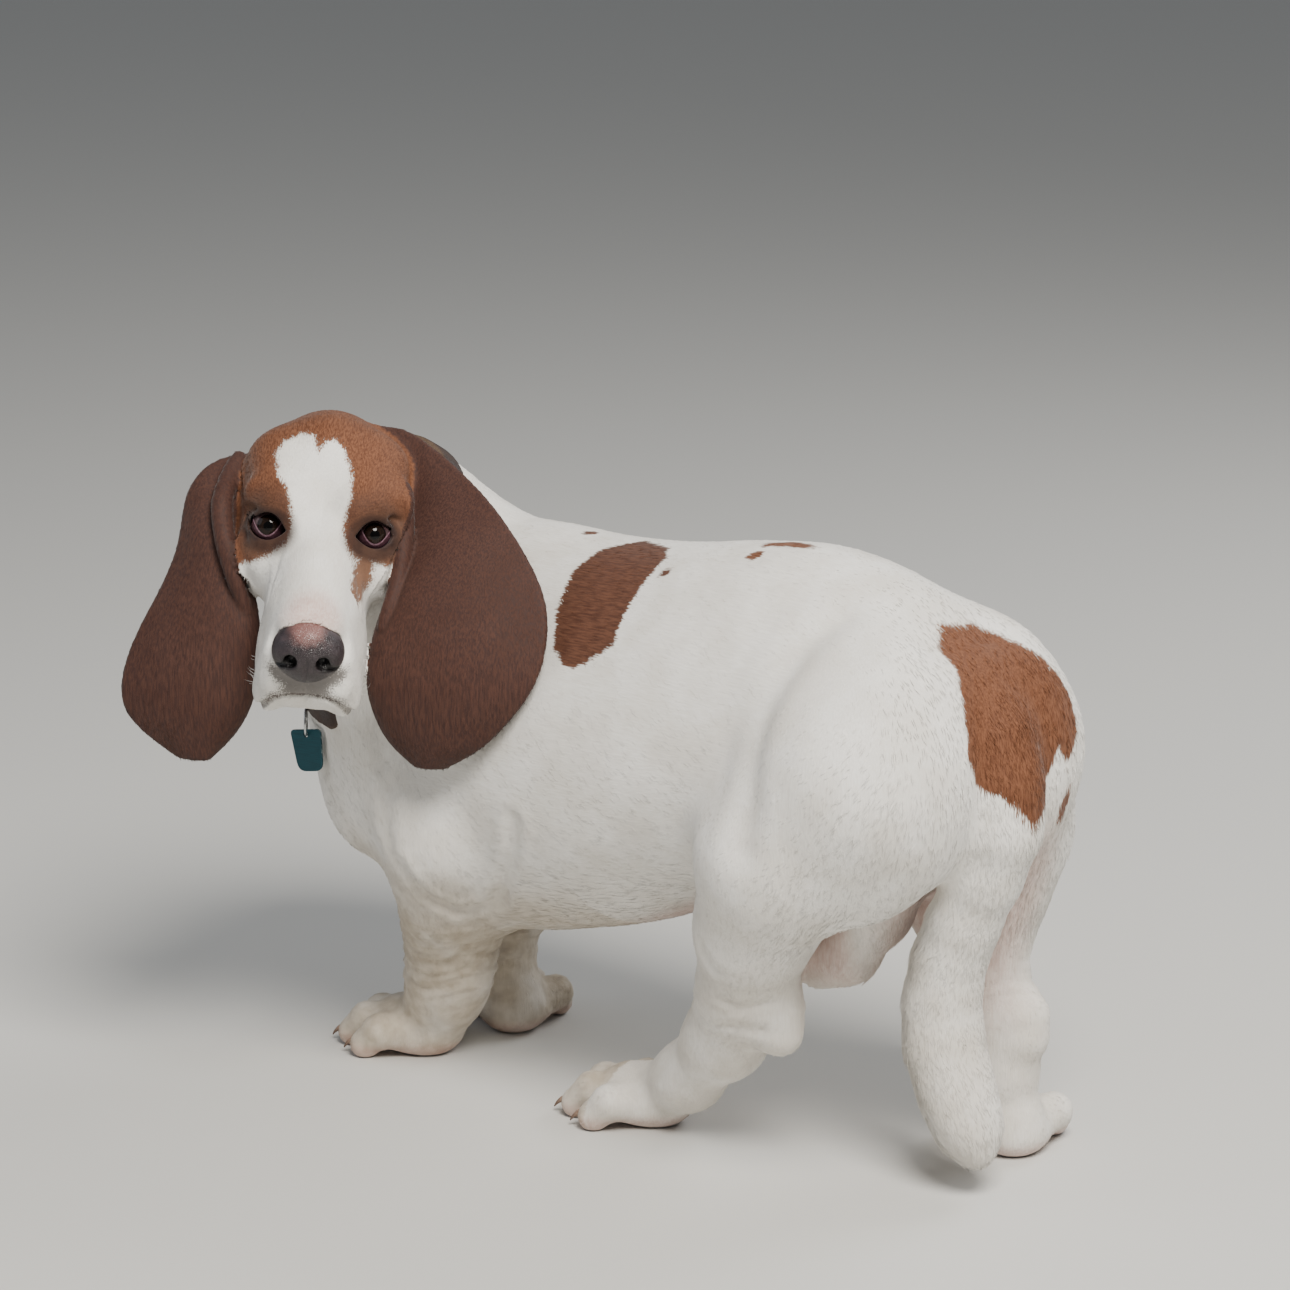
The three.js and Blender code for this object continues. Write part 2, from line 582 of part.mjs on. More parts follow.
// Ears: rows from the root to the tip, each [front edge, rear edge] as [across, forward, up] seen from the
// front of the head. The leather folds under along its front edge, which opens the cup at the root.
const EARS = {
  left: [[[40, -40, -2], [32, -74, 46]], [[50, -26, -2], [46, -70, 50]],
    [[50, -14, -16], [79, -42, 30]], [[47, -4, -29], [101, -14, 13]],
    [[40, 6, -43], [120, 10, -10]], [[33, 13, -59], [134, 30, -35]],
    [[30, 17, -75], [135, 43, -59]], [[28, 19, -91], [127, 50, -84]], [[33, 21, -110], [112, 46, -105]],
    [[42, 23, -126], [96, 40, -123]], [[56, 25, -138], [74, 28, -138]]],
  right: [[[-38, -40, -4], [-34, -72, 32]], [[-50, -30, 4], [-50, -70, 33]],
    [[-55, -24, -6], [-71, -60, 30]], [[-53, -18, -22], [-85, -48, 14]],
    [[-48, -10, -38], [-88, -38, -14]], [[-44, -6, -52], [-99, -30, -41]],
    [[-42, -4, -67], [-113, -24, -66]], [[-42, -4, -85], [-123, -18, -92]],
    [[-46, -4, -106], [-123, -14, -113]], [[-56, -6, -126], [-107, -12, -130]],
    [[-72, -8, -142], [-90, -10, -142]]],
};
const facing = new THREE.Matrix4().makeRotationZ(rad(-45)).setPosition(...HEAD_AT);
const besideHead = ([across, forward, up]) => new THREE.Vector3(forward, across, up).applyMatrix4(facing);
const EAR_ROWS = [0, 0.1, 0.2, 0.31, 0.43, 0.55, 0.67, 0.79, 0.9, 0.97, 1];
const EAR_COLUMNS = [0, 0.05, 0.17, 0.3, 0.46, 0.64, 0.82, 0.95, 1];
const UP = new THREE.Vector3(0, 0, 1);

// Middle of the leather at a place along the ear (0 root, 1 tip), as a curve from front to rear edge
function earSection(fronts, rears, along, mirror) {
  const front = fronts.getPoint(along);
  const rear = rears.getPoint(along);
  const across = rear.clone().sub(front);
  const outward = across.clone().cross(UP).normalize().multiplyScalar(mirror);
  const width = across.length();
  const fold = (1 - along) * 9 + 2;
  const arch = Math.min(width * 0.12, 11) * (1 - 0.45 * along);
  const spot = (share, out) => front.clone().addScaledVector(across, share).addScaledVector(outward, out);
  return new THREE.CatmullRomCurve3([spot(fold / width, -fold * 1.3), spot(0, -fold * 0.6),
    spot(0.04, arch * 0.25), spot(0.3, arch), spot(0.65, arch * 0.8), spot(1, -arch * 0.2)]);
}

function earSolid(rows, mirror) {
  const fronts = new THREE.CatmullRomCurve3(rows.map(([front]) => besideHead(front)));
  const rears = new THREE.CatmullRomCurve3(rows.map(([, rear]) => besideHead(rear)));
  const grid = EAR_ROWS.map((along) => {
    const section = earSection(fronts, rears, along, mirror);
    return EAR_COLUMNS.map((share) => section.getPoint(share));
  });
  const [last, end] = [EAR_ROWS.length - 1, EAR_COLUMNS.length - 1];
  const points = [];
  const faces = [];
  const layers = [1, -1].map((face) => grid.map((row, i) => row.map((middle, j) => {
    const isEdge = i === 0 || j === 0 || i === last || j === end;
    if (isEdge && face < 0) return -1;
    const along = grid[Math.min(i + 1, last)][j].clone().sub(grid[Math.max(i - 1, 0)][j]);
    const across = grid[i][Math.min(j + 1, end)].clone().sub(grid[i][Math.max(j - 1, 0)]);
    const nearRim = j === 1 || j === end - 1 || i === last - 1;
    const half = isEdge ? 0 : EAR_THICK * (nearRim ? 0.36 : 0.5);
    const normal = across.cross(along).normalize();
    points.push(...middle.clone().addScaledVector(normal, half * face).toArray());
    return points.length / 3 - 1;
  })));
  layers.forEach((layer, side) => {
    const vertex = (i, j) => (layer[i][j] < 0 ? layers[0][i][j] : layer[i][j]);
    for (let i = 0; i < last; i += 1) {
      for (let j = 0; j < end; j += 1) {
        const quad = [vertex(i, j), vertex(i, j + 1), vertex(i + 1, j + 1), vertex(i + 1, j)];
        if (side) quad.reverse();
        faces.push(quad[0], quad[1], quad[2], quad[0], quad[2], quad[3]);
      }
    }
  });
  return toSolid(new Float32Array(points), faces);
}

for (const [side, rows] of Object.entries(EARS)) {
  parts[`ear_${side}`] = largest(clearOf(earSolid(rows, side === 'left' ? 1 : -1), [parts.head]));
}

// A claw: a taper that curves down, its root at the origin and x along it
function clawShape(spare) {
  const shape = new THREE.CylinderGeometry(CLAW_TIP_R + spare, CLAW_R + spare, CLAW + 2 * spare, 7, 2);
  shape.rotateZ(-Math.PI / 2).translate(CLAW / 2, 0, 0);
  const { position } = shape.attributes;
  for (let i = 0; i < position.count; i += 1) {
    const x = position.getX(i);
    position.setZ(i, position.getZ(i) - 0.22 * x - 0.02 * x * x);
  }
  return shape;
}

for (const [name, leg] of Object.entries(LEGS)) {
  const { inside } = sleeves[name];
  const [end, side] = name.split('_');
  const isHind = end === 'hind';
  const wrist = leg.bones[leg.bones.length - 2];
  const lo = [0, 1, 2].map((n) => Math.min(...leg.bones.map((q) => q[n])) - 90);
  const hi = [0, 1, 2].map((n) => Math.max(...leg.bones.map((q) => q[n])) + 90);
  const whole = solidOf(flesh, box(lo, hi, isHind ? 20 : 19)).intersect(inside);
  const upper = ahead(whole, wrist, [0, 0, 1]);
  if (isHind) {
    const knee = leg.bones[2];
    const away = [0, 1, 2].map((n) => leg.bones[1][n] - leg.bones[3][n]);
    parts[`thigh_${side}`] = largest(ahead(upper, knee, away));
    parts[`shank_${side}`] = largest(behind(upper, knee, away));
  } else {
    parts[`fore_leg_${side}`] = largest(upper);
  }
  const [px, py] = leg.paw;
  const pawBox = box([px - 110, py - 95, -9], [px + 95, py + 95, wrist[2] + 20], 11.6);
  let paw = behind(solidOf(legForms[name], pawBox), wrist, [0, 0, 1]);
  TOES.forEach(([reach, across], i) => {
    const root = pawPoint(leg.paw, PAW_LENGTH * (reach - 0.2) + TOE_R - 6, across * 1.05, 11);
    const placing = new THREE.Matrix4().makeRotationZ(rad(leg.paw[2])).setPosition(...root);
    parts[`claw_${end}_${side}_${i + 1}`] = fromGeometry(clawShape(0), placing);
    paw = paw.subtract(fromGeometry(clawShape(GAP), placing));
  });
  parts[`${end}_paw_${side}`] = largest(paw.trimByPlane([0, 0, 1], SOLE));
}

parts.tail = largest(solidOf(rearFlesh, box([338, -54, 0], [494, 66, 344], [16, 15, 19]))
  .intersect(sleeves.tail.inside));

// The fold of skin under the groin
const groin = solidOf(sheath, box([268, -44, 96], [414, 50, 236], 14));
parts.groin = largest(clearOfLimbs(clearOf(groin, [parts.torso])));

// Collar: a strap round the neck, lost in the fold over the left shoulder, and the ring that hangs from it
const COLLAR = { at: [-32, -66, 316], normal: [-0.078, -0.839, 0.539] };
const HOLE_AT = [-37.4, -112.6, 221.2];
const TAG_TURN = 30;
const SIGHT = new THREE.Vector3(Math.SQRT1_2, -Math.SQRT1_2, 0);
const SIDEWAYS = new THREE.Vector3(Math.SQRT1_2, Math.SQRT1_2, 0);

function ringShape(tube) {
  const placing = new THREE.Matrix4().makeBasis(SIGHT, UP, SIDEWAYS.clone().negate())
    .setPosition(HOLE_AT[0], HOLE_AT[1], HOLE_AT[2] + RING_R);
  return fromGeometry(new THREE.TorusGeometry(RING_R, tube, 5, 20), placing);
}

const throated = blend(FILLET.head, headWorld, neck);
const strapOutside = (x, y, z) => (
  Math.min(throated(x, y, z), wholeDog(x, y, z) + Math.max(0, (x + 10) * 0.6)) - COLLAR_T);
const inTheWay = [parts.neck, parts.torso, parts.fore_leg_left, parts.fore_leg_right, parts.head];
const strap = solidOf(strapOutside, box([-150, -180, 180], [80, 60, 450], 22))
  .intersect(slab(COLLAR.at, COLLAR.normal, [400, 400, COLLAR_W]));
parts.collar = largest(clearOf(strap, inTheWay).subtract(ringShape(RING_TUBE + GAP)));
parts.tag_ring = ringShape(RING_TUBE);

// The tag: a plate with rounded corners and a round foot, narrower below
function tagSolid() {
  const [w, h, r] = [TAG_W / 2, TAG_H, 3];
  const face = new THREE.Shape();
  face.moveTo(-w + r, 0);
  face.lineTo(w - r, 0);
  face.quadraticCurveTo(w, 0, w, -r);
  face.lineTo(w * 0.86, -h * 0.78);
  face.quadraticCurveTo(w * 0.8, -h, w * 0.3, -h);
  face.lineTo(-w * 0.3, -h);
  face.quadraticCurveTo(-w * 0.8, -h, -w * 0.86, -h * 0.78);
  face.lineTo(-w, -r);
  face.quadraticCurveTo(-w, 0, -w + r, 0);
  const plate = new THREE.ExtrudeGeometry(face, { depth: TAG_T, bevelEnabled: false, curveSegments: 4 });
  plate.translate(0, 3.4, -TAG_T / 2).rotateZ(rad(8)).rotateY(rad(-TAG_TURN));
  const hole = new THREE.CylinderGeometry(TAG_HOLE_R, TAG_HOLE_R, 4 * TAG_T, 14).rotateX(Math.PI / 2)
    .rotateY(rad(-TAG_TURN));
  const placing = new THREE.Matrix4().makeBasis(SIDEWAYS, UP, SIGHT).setPosition(...HOLE_AT);
  return fromGeometry(plate, placing).subtract(fromGeometry(hole, placing));
}
parts.tag = tagSolid();

const COLOURS = { torso: 0xe9e4dc, neck: 0xe9e4dc, head: 0xe2d6ca, tail: 0xeeeae2, nose: 0x4a3733,
  ear_left: 0x9c5b3c, ear_right: 0x9c5b3c, eye_left: 0x3a2418, eye_right: 0x3a2418, collar: 0x2b2622 };
const group = new THREE.Group();
const bounds = new THREE.Box3();
for (const [name, solid] of Object.entries(parts)) {
  const { vertProperties, triVerts } = solid.getMesh();
  const geometry = new THREE.BufferGeometry();
  geometry.setAttribute('position', new THREE.BufferAttribute(new Float32Array(vertProperties), 3));
  geometry.setIndex(new THREE.BufferAttribute(new Uint32Array(triVerts), 1));
  geometry.computeVertexNormals();
  geometry.computeBoundingBox();
  bounds.union(geometry.boundingBox);
  const finish = new THREE.MeshStandardMaterial({ color: COLOURS[name] ?? 0xe9e4dc, roughness: 0.9 });
  const mesh = new THREE.Mesh(geometry, finish);
  mesh.name = name;
  group.add(mesh);
}
const middle = bounds.getCenter(new THREE.Vector3());
group.position.set(-middle.x, -middle.y, -bounds.min.z);

export default group;
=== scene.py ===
"""A basset hound stands and looks back over its left side: one skin with short hair, eyes, nose, claws,
a dark collar with a ring, and a bare tag.

Forms are worked out in millimetres in the dog's own frame: it faces -X, its left side is -Y, and the floor
is Z = 0. They are then moved to the model's frame, in metres.
"""
import math

import bmesh
import bpy
import numpy as np
from mathutils import Matrix, Vector
from mathutils.bvhtree import BVHTree


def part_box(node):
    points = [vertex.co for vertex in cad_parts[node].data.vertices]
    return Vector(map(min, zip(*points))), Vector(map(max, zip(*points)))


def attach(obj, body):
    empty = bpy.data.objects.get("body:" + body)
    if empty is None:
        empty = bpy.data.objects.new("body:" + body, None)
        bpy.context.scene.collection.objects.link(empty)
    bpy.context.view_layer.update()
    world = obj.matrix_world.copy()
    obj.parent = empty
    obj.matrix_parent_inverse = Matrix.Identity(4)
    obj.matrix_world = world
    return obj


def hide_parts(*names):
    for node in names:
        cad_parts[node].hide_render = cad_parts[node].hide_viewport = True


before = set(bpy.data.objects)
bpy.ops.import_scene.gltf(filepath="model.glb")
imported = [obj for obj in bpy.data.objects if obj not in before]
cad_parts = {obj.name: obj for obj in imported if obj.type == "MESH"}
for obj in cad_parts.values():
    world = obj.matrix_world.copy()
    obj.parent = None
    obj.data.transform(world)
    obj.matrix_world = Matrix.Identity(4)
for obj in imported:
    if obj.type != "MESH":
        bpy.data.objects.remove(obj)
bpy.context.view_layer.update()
rng = np.random.default_rng(7)

# Sizes and places in mm, turns in degrees

COAT_DEPTH = 0.8          # the skin lies this far inside the solids
SKIN_STEP = 2.2           # lattice that the skin is drawn from; it is twice as fine on the face
OFF_FLOOR = 0.3           # the skin keeps this far off the floor
FAR = 200.0               # distance given wherever a form can't matter

WITHERS = 351             # height of the back over the shoulders
LOIN = 377
CHEST_LOW = 95            # height of the keel of the chest
CHEST_HALF = 106
RUMP_X = 411
FORE_X = -46
PAW_LENGTH = 72
TOE_R = 11.5
SOLE_SINK = 2.5           # how far the soles are pressed flat
CLAW_LENGTH = 11.8
CLAW_R = 3.1              # at the root

HEAD_AT = (34, -159, 369)           # midway between the eyes
HEAD_TURN = (-5.2, 12.1, -44.7)     # about X, then Y, then Z
EYE_R = 11.5
EYE_AT = (-6, 31, -1)               # the left eyeball, in the head's frame
INNER_CORNER = 21.5                 # corners of the lids, across the head
OUTER_CORNER = 43
CORNEA_R = 7
CORNEA_RISE = 0.5                   # how far the cornea bulges
EAR_HALF = 2.2                      # half the thickness of the ear's leather

COLLAR_AT = np.array([-32.0, -66.0, 316.0])
COLLAR_LEAN = np.array([-0.078, -0.839, 0.539])     # the collar's axis, along the neck
COLLAR_W = 17
COLLAR_T = 2.2
RING_R = 8
RING_WIRE = 0.85                    # radius of its wire
HOLE_AT = np.array([-37.4, -112.6, 221.2])          # the tag's hole
TAG_TURN = 30

CAMERA_AT = (2048, -1897, 936)
CAMERA_ROUND = 45                   # from the dog's left side toward its rear
CAMERA_UP = 13.5
LENS = 4500 / 1290 * 36             # mm on a 36 mm sensor: 4500 pixels for a picture 1290 wide


# Fields: each gives the distance to a form for arrays of points, negative inside

def turned(angles):
    """Rotation about X, then Y, then Z, in degrees."""
    about = [Matrix.Rotation(math.radians(a), 3, axis) for a, axis in zip(angles, "XYZ")]
    return np.array(about[2] @ about[1] @ about[0])


def unspun(spin, d):
    """Offsets as they are seen from inside a turned frame."""
    return tuple(spin[0][i] * d[0] + spin[1][i] * d[1] + spin[2][i] * d[2] for i in range(3))


def egg_gap(k0, k1):
    """Distance to an egg from two lengths: the offset over its radii, and over their squares."""
    return np.maximum(k0, 1e-6) * (k0 - 1) / np.maximum(k1, 1e-9)


def egg(centre, radii, turn=None):
    spin = turned(turn) if turn else None

    def form(x, y, z):
        d = (x - centre[0], y - centre[1], z - centre[2])
        if spin is not None:
            d = unspun(spin, d)
        k0 = np.sqrt(sum((v / r) ** 2 for v, r in zip(d, radii)))
        k1 = np.sqrt(sum((v / r ** 2) ** 2 for v, r in zip(d, radii)))
        return egg_gap(k0, k1)
    return form


def limb(a, b, ra, rb):
    """A length that tapers from radius ra at a to rb at b, with round ends."""
    ba = np.subtract(b, a).astype(float)
    l2 = float(ba @ ba)
    dr = ra - rb
    a2 = l2 - dr * dr

    def form(x, y, z):
        px, py, pz = x - a[0], y - a[1], z - a[2]
        h = px * ba[0] + py * ba[1] + pz * ba[2]
        g = h - l2
        x2 = (px * l2 - ba[0] * h) ** 2 + (py * l2 - ba[1] * h) ** 2 + (pz * l2 - ba[2] * h) ** 2
        h2 = h * h * l2
        g2 = g * g * l2
        k = np.sign(dr) * dr * dr * x2
        side = (np.sqrt(x2 * a2 / l2) + h * dr) / l2 - ra
        near_a = np.sqrt(x2 + h2) / l2 - ra
        near_b = np.sqrt(x2 + g2) / l2 - rb
        return np.where(np.sign(g) * a2 * g2 > k, near_b, np.where(np.sign(h) * a2 * h2 < k, near_a, side))
    return form


def soft_min(a, b, k):
    """The smaller of two distances, with a fillet of about k where they meet."""
    h = np.maximum(k - np.abs(a - b), 0) / k
    return np.minimum(a, b) - h * h * k / 4


def blend(k, *forms):
    """Joins forms with a fillet of about k."""
    def form(x, y, z):
        d = forms[0](x, y, z)
        for other in forms[1:]:
            d = soft_min(d, other(x, y, z), k)
        return d
    return form


def carve(k, form, tool):
    """Takes a form out of another, with a rounded edge of about k."""
    return lambda x, y, z: -soft_min(-form(x, y, z), tool(x, y, z), k)


def chain(k, points):
    """A limb of several lengths through points (x, y, z, radius)."""
    return blend(k, *[limb(p[:3], q[:3], p[3], q[3]) for p, q in zip(points, points[1:])])


def mirrored(form, rounded=0.0):
    """A form on both sides of the middle; rounded softens the crease between its halves."""
    return lambda x, y, z: form(x, np.hypot(y, rounded), z)


def in_box(x, y, z, lo, hi):
    return (x > lo[0]) & (x < hi[0]) & (y > lo[1]) & (y < hi[1]) & (z > lo[2]) & (z < hi[2])


def near(form, lo, hi, room=34):
    """Works a form out only where it can matter; elsewhere it is simply far."""
    lo = [v - room for v in lo]
    hi = [v + room for v in hi]

    def boxed(x, y, z):
        inside = in_box(x, y, z, lo, hi)
        out = np.full(x.shape, FAR)
        if inside.any():
            out[inside] = form(x[inside], y[inside], z[inside])
        return out
    return boxed


def near_chain(k, points):
    """A chain that is only worked out near its points."""
    spots = np.array([p[:3] for p in points])
    thick = max(p[3] for p in points)
    return near(chain(k, points), spots.min(0) - thick, spots.max(0) + thick)


def curve(pairs):
    """Smooth curve through (x, value) pairs, with slopes taken from neighbours."""
    xs, vs = (np.array(c, float) for c in zip(*pairs))
    last = len(xs) - 1

    def line(x):
        x = np.clip(x, xs[0], xs[-1])
        i = np.clip(np.searchsorted(xs, x, side="right") - 1, 0, last - 1)
        j = i + 1
        before = np.where(i > 0, i - 1, j)
        after = np.where(j < last, j + 1, i)
        t0, t1 = xs[i], xs[j]
        back = 0.5 * (t1 - t0) / (t0 - xs[before])
        on = 0.5 * (t1 - t0) / (xs[after] - t1)
        p = (x - t0) / (t1 - t0)
        pp = p * p
        ppp = pp * p
        return ((-back * ppp + 2 * back * pp - back * p) * vs[before]
                + ((1 + back) * ppp + (-1.5 - 2 * back) * pp + (-0.5 + back) * p + 1) * vs[i]
                + ((-1 - on) * ppp + (1.5 + on) * pp + 0.5 * p) * vs[j]
                + (on * ppp - on * pp) * vs[after])
    return line


def smooth(lo, hi, v):
    """From 0 at lo to 1 at hi."""
    t = np.clip((v - lo) / (hi - lo), 0, 1)
    return t * t * (3 - 2 * t)


# Trunk, neck, legs and tail, as in the solids. The three lines give heights and half widths along X.

back_line = curve([(-60, WITHERS - 22), (0, WITHERS), (60, 356), (120, 356), (180, 361), (240, 371),
                   (300, LOIN), (345, 371), (385, 356), (RUMP_X, 334)])
under_line = curve([(-60, 124), (0, CHEST_LOW + 2), (76, CHEST_LOW + 1), (120, 106), (180, 124),
                    (235, 149), (300, 172), (360, 186), (RUMP_X, 205)])
half_width = curve([(-60, 62), (0, 92), (70, CHEST_HALF), (150, 109), (220, 104), (300, 92),
                    (360, 84), (RUMP_X, 64)])


def trunk(x, y, z):
    """Upright ovals along the three lines of the trunk, with rounded ends."""
    at = np.clip(x, FORE_X, RUMP_X)
    top, low, w = back_line(at), under_line(at), half_width(at)
    h = (top - low) / 2
    cap = np.where(x < FORE_X, 54.0, 28.0)
    past = (x - at) / cap
    zn = (z - low - h) / h
    yn = y / (w * (1 - 0.1 * np.clip(zn, -1, 1)))
    k0 = np.sqrt(past ** 2 + yn ** 2 + zn ** 2)
    k1 = np.sqrt((past / cap) ** 2 + (yn / w) ** 2 + (zn / h) ** 2)
    return egg_gap(k0, k1)


head_spin = turned(HEAD_TURN)


def to_head(x, y, z):
    return unspun(head_spin, (x - HEAD_AT[0], y - HEAD_AT[1], z - HEAD_AT[2]))


def on_head(x, y, z):
    return tuple(head_spin @ np.array([x, y, z], float) + HEAD_AT)


nape = on_head(-92, 0, -14)
jaw = on_head(-44, 0, -44)
neck = near(blend(30, chain(30, [(-34, 0, 276, 80), (-38, -32, 316, 68), (-36, -64, 346, 58), (*nape, 44)]),
                  limb((-42, -36, 214), jaw, 47, 34)), (-120, -200, 160), (60, 90, 410))
fore_chest = egg((-54, -8, 177), (58, 60, 50))

# Each leg: its bones as (x, y, z, radius) from the trunk down, a bony knob, and its paw as (x, y, heading)
LEGS = {
    "fore_left": dict(
        bones=[(0, -64, 246, 46), (56, -76, 172, 40), (42, -62, 130, 32), (24, -47, 100, 27),
               (14, -38, 68, 24), (4, -34, 44, 21), (-8, -33, 26, 20)],
        knob=(30, -38, 58, 9), paw=(-6, -32, 197)),
    "fore_right": dict(
        bones=[(-16, 64, 246, 46), (34, 76, 172, 40), (14, 62, 130, 32), (-16, 46, 92, 25),
               (-26, 36, 62, 22), (-20, 34, 40, 19), (-12, 36, 24, 19)],
        knob=(-6, 30, 54, 9), paw=(-2, 32, 136)),
    "hind_left": dict(
        bones=[(380, -56, 262, 58), (332, -70, 208, 46), (304, -62, 158, 32), (284, -48, 112, 26),
               (258, -38, 74, 22), (220, -31, 38, 18), (190, -26, 20, 16)],
        knob=(308, -44, 90, 15), paw=(196, -24, 200)),
    "hind_right": dict(
        bones=[(378, 54, 262, 57), (358, 80, 204, 49), (350, 82, 158, 38), (359, 80, 118, 21),
               (370, 83, 86, 20), (374, 84, 54, 17), (374, 86, 28, 18)],
        knob=(392, 84, 78, 13), paw=(384, 84, 138)),
}
# The toes as (reach in paw lengths, across)
TOES = ((0.72, -27), (1, -9.5), (1, 9.5), (0.72, 27))


def paw_point(paw, along, across, up):
    """A place on a paw, in the dog's frame."""
    a = math.radians(paw[2])
    return (paw[0] + along * math.cos(a) - across * math.sin(a),
            paw[1] + along * math.sin(a) + across * math.cos(a), up)


def paw_form(paw):
    """Four toes that are pressed flat below, the paw behind them, and the pad under it."""
    def spot(along, across, up, r):
        return (*paw_point(paw, along, across, up), r)
    body = chain(12, [spot(4, 0, 20, 19), spot(PAW_LENGTH * 0.34, 0, 17, 20)])
    toes = [chain(4, [spot(PAW_LENGTH * 0.3, across * 0.75, 17, TOE_R + 1.5),
                      spot(PAW_LENGTH * (reach - 0.34), across, 18, TOE_R),
                      spot(PAW_LENGTH * (reach - 0.19), across * 1.04, TOE_R - 1 - SOLE_SINK, TOE_R - 1)])
            for reach, across in TOES]
    pad = egg(paw_point(paw, PAW_LENGTH * 0.12, 0, 12), (22, 24, 12 + SOLE_SINK))
    spots = [paw_point(paw, along, across, up)
             for along in (-20, 80) for across in (-45, 45) for up in (-5, 40)]
    return near(blend(8, blend(2.4, *toes), body, pad), np.min(spots, 0), np.max(spots, 0))


def leg_form(leg):
    """A leg's muscles along its bones, with the bony knob of its heel or wrist."""
    knob = leg["knob"]
    bump = limb(knob[:3], (knob[0], knob[1], knob[2] + 12), knob[3], knob[3])
    bump = near(bump, np.subtract(knob[:3], knob[3]), np.add(knob[:3], knob[3] + 12))
    return blend(8, blend(14, near_chain(22, leg["bones"]), bump), paw_form(leg["paw"]))


TAIL = [(400, 4, 312, 24), (424, 4, 282, 24), (434, 4, 256, 22), (434, 5, 230, 21), (422, 6, 200, 19),
        (407, 7, 169, 18), (395, 8, 142, 18), (389, 9, 115, 19), (391, 10, 88, 20), (400, 11, 62, 19),
        (409, 12, 42, 16), (414, 12, 30, 11)]
tail = near_chain(18, TAIL)
shoulders = mirrored(near(egg((2, 68, 230), (60, 37, 90), (10, 14, 0)), (-80, 10, 120), (90, 130, 340)))
haunches = mirrored(near(egg((378, 46, 258), (62, 48, 86), (0, 12, 0)), (290, -20, 150), (460, 120, 360)))
sheath = near_chain(14, [(372, 2, 204, 20), (342, 2, 164, 20), (320, 0, 134, 19), (302, -2, 121, 15)])

body = blend(26, trunk, fore_chest, haunches, blend(20, shoulders, neck))
leg_forms = {name: leg_form(leg) for name, leg in LEGS.items()}


def legs(x, y, z):
    return np.minimum.reduce([form(x, y, z) for form in leg_forms.values()])


rear_flesh = blend(9, blend(14, blend(22, body, legs), sheath), tail)

# Head, in its own frame: x along the muzzle, y to the dog's left, z up, origin midway between the eyes

cranium = blend(18, egg((-58, 0, 2), (58, 46, 47)), limb((-55, 0, 28), (-108, 0, 10), 18, 14),
                mirrored(limb((-6, 24, 14), (-52, 30, 20), 15, 19)),
                mirrored(egg((-32, 33, -22), (44, 19, 32))))
muzzle = blend(14, limb((-8, 0, -24), (86, 0, -30), 31, 21), limb((10, 0, -6), (84, 0, -24), 14, 14),
               limb((-20, 0, -54), (70, 0, -67), 26, 12),
               mirrored(limb((64, 6, -68), (76, 7, -69), 12, 9.5), 3.5))
flews = mirrored(blend(10, egg((44, 22, -57), (44, 11, 36), (6, 0, -4)),
                       limb((80, 14, -46), (68, 21, -75), 13.5, 10.5),
                       limb((86, 3, -57), (82, 15, -62), 7.5, 8)))
brows = mirrored(limb((-2, 20, 15), (-16, 40, 16), 9, 8))
# The line of the mouth from under the nose to its left corner: (x, y, z, radius of the groove)
MOUTH = [(88.8, 0, -66.6, 0.9), (91.2, 7, -66.3, 0.9), (91.2, 13, -67.4, 0.9), (89.2, 18, -70, 1),
         (85, 21.5, -74.5, 1.2), (79, 25.5, -80, 1.4), (68, 29, -86, 1.6), (30, 33, -87, 1.6)]
mouth_cut = mirrored(chain(2, MOUTH))
# The eyes look up past the brows: this line of sight, in the head's frame, gives the opening its direction
SIGHT_X, SIGHT_Z = 0.911, 0.413
# The opening of an eye, as (across, rise) along the edge of each lid from the inner to the outer corner
UPPER_EDGE = [(INNER_CORNER, -2.4), (24.5, 2.2), (28, 5.4), (32, 6.8), (36.5, 5.8), (40.5, 2.8),
              (OUTER_CORNER, -0.8)]
LOWER_EDGE = [(INNER_CORNER, -2.4), (25, -5.2), (29, -7.2), (33, -7.8), (38, -6.4), (41.2, -3.8),
              (OUTER_CORNER, -0.8)]
SOCKET_DEPTH = 3.5        # the opening ends this far in front of the middle of the ball
upper_edge, lower_edge = curve(UPPER_EDGE), curve(LOWER_EDGE)


def eye_rise(x, z):
    """Height over the middle of the eye, square to the line of sight."""
    return SIGHT_X * (z - EYE_AT[2]) - SIGHT_Z * (x - EYE_AT[0])


def lid_rim(edge, lift, proud, r):
    """A rolled rim that follows the ball along one edge of the opening."""
    spots = []
    for across, rise in edge:
        rise += lift
        depth = math.sqrt(max((EYE_R + proud) ** 2 - (across - EYE_AT[1]) ** 2 - rise ** 2, 9))
        spots.append((EYE_AT[0] + SIGHT_X * depth - SIGHT_Z * rise, across,
                      EYE_AT[2] + SIGHT_Z * depth + SIGHT_X * rise, r))
    return chain(1.5, spots)


lids = mirrored(blend(1.5, lid_rim(UPPER_EDGE, 1.3, 0.7, 1.7), lid_rim(LOWER_EDGE, -1.1, 0.9, 1.4)))
eye_bed = mirrored(egg(EYE_AT, (EYE_R + 1.2,) * 3))
eye_ball = mirrored(egg(EYE_AT, (EYE_R + 0.15,) * 3))


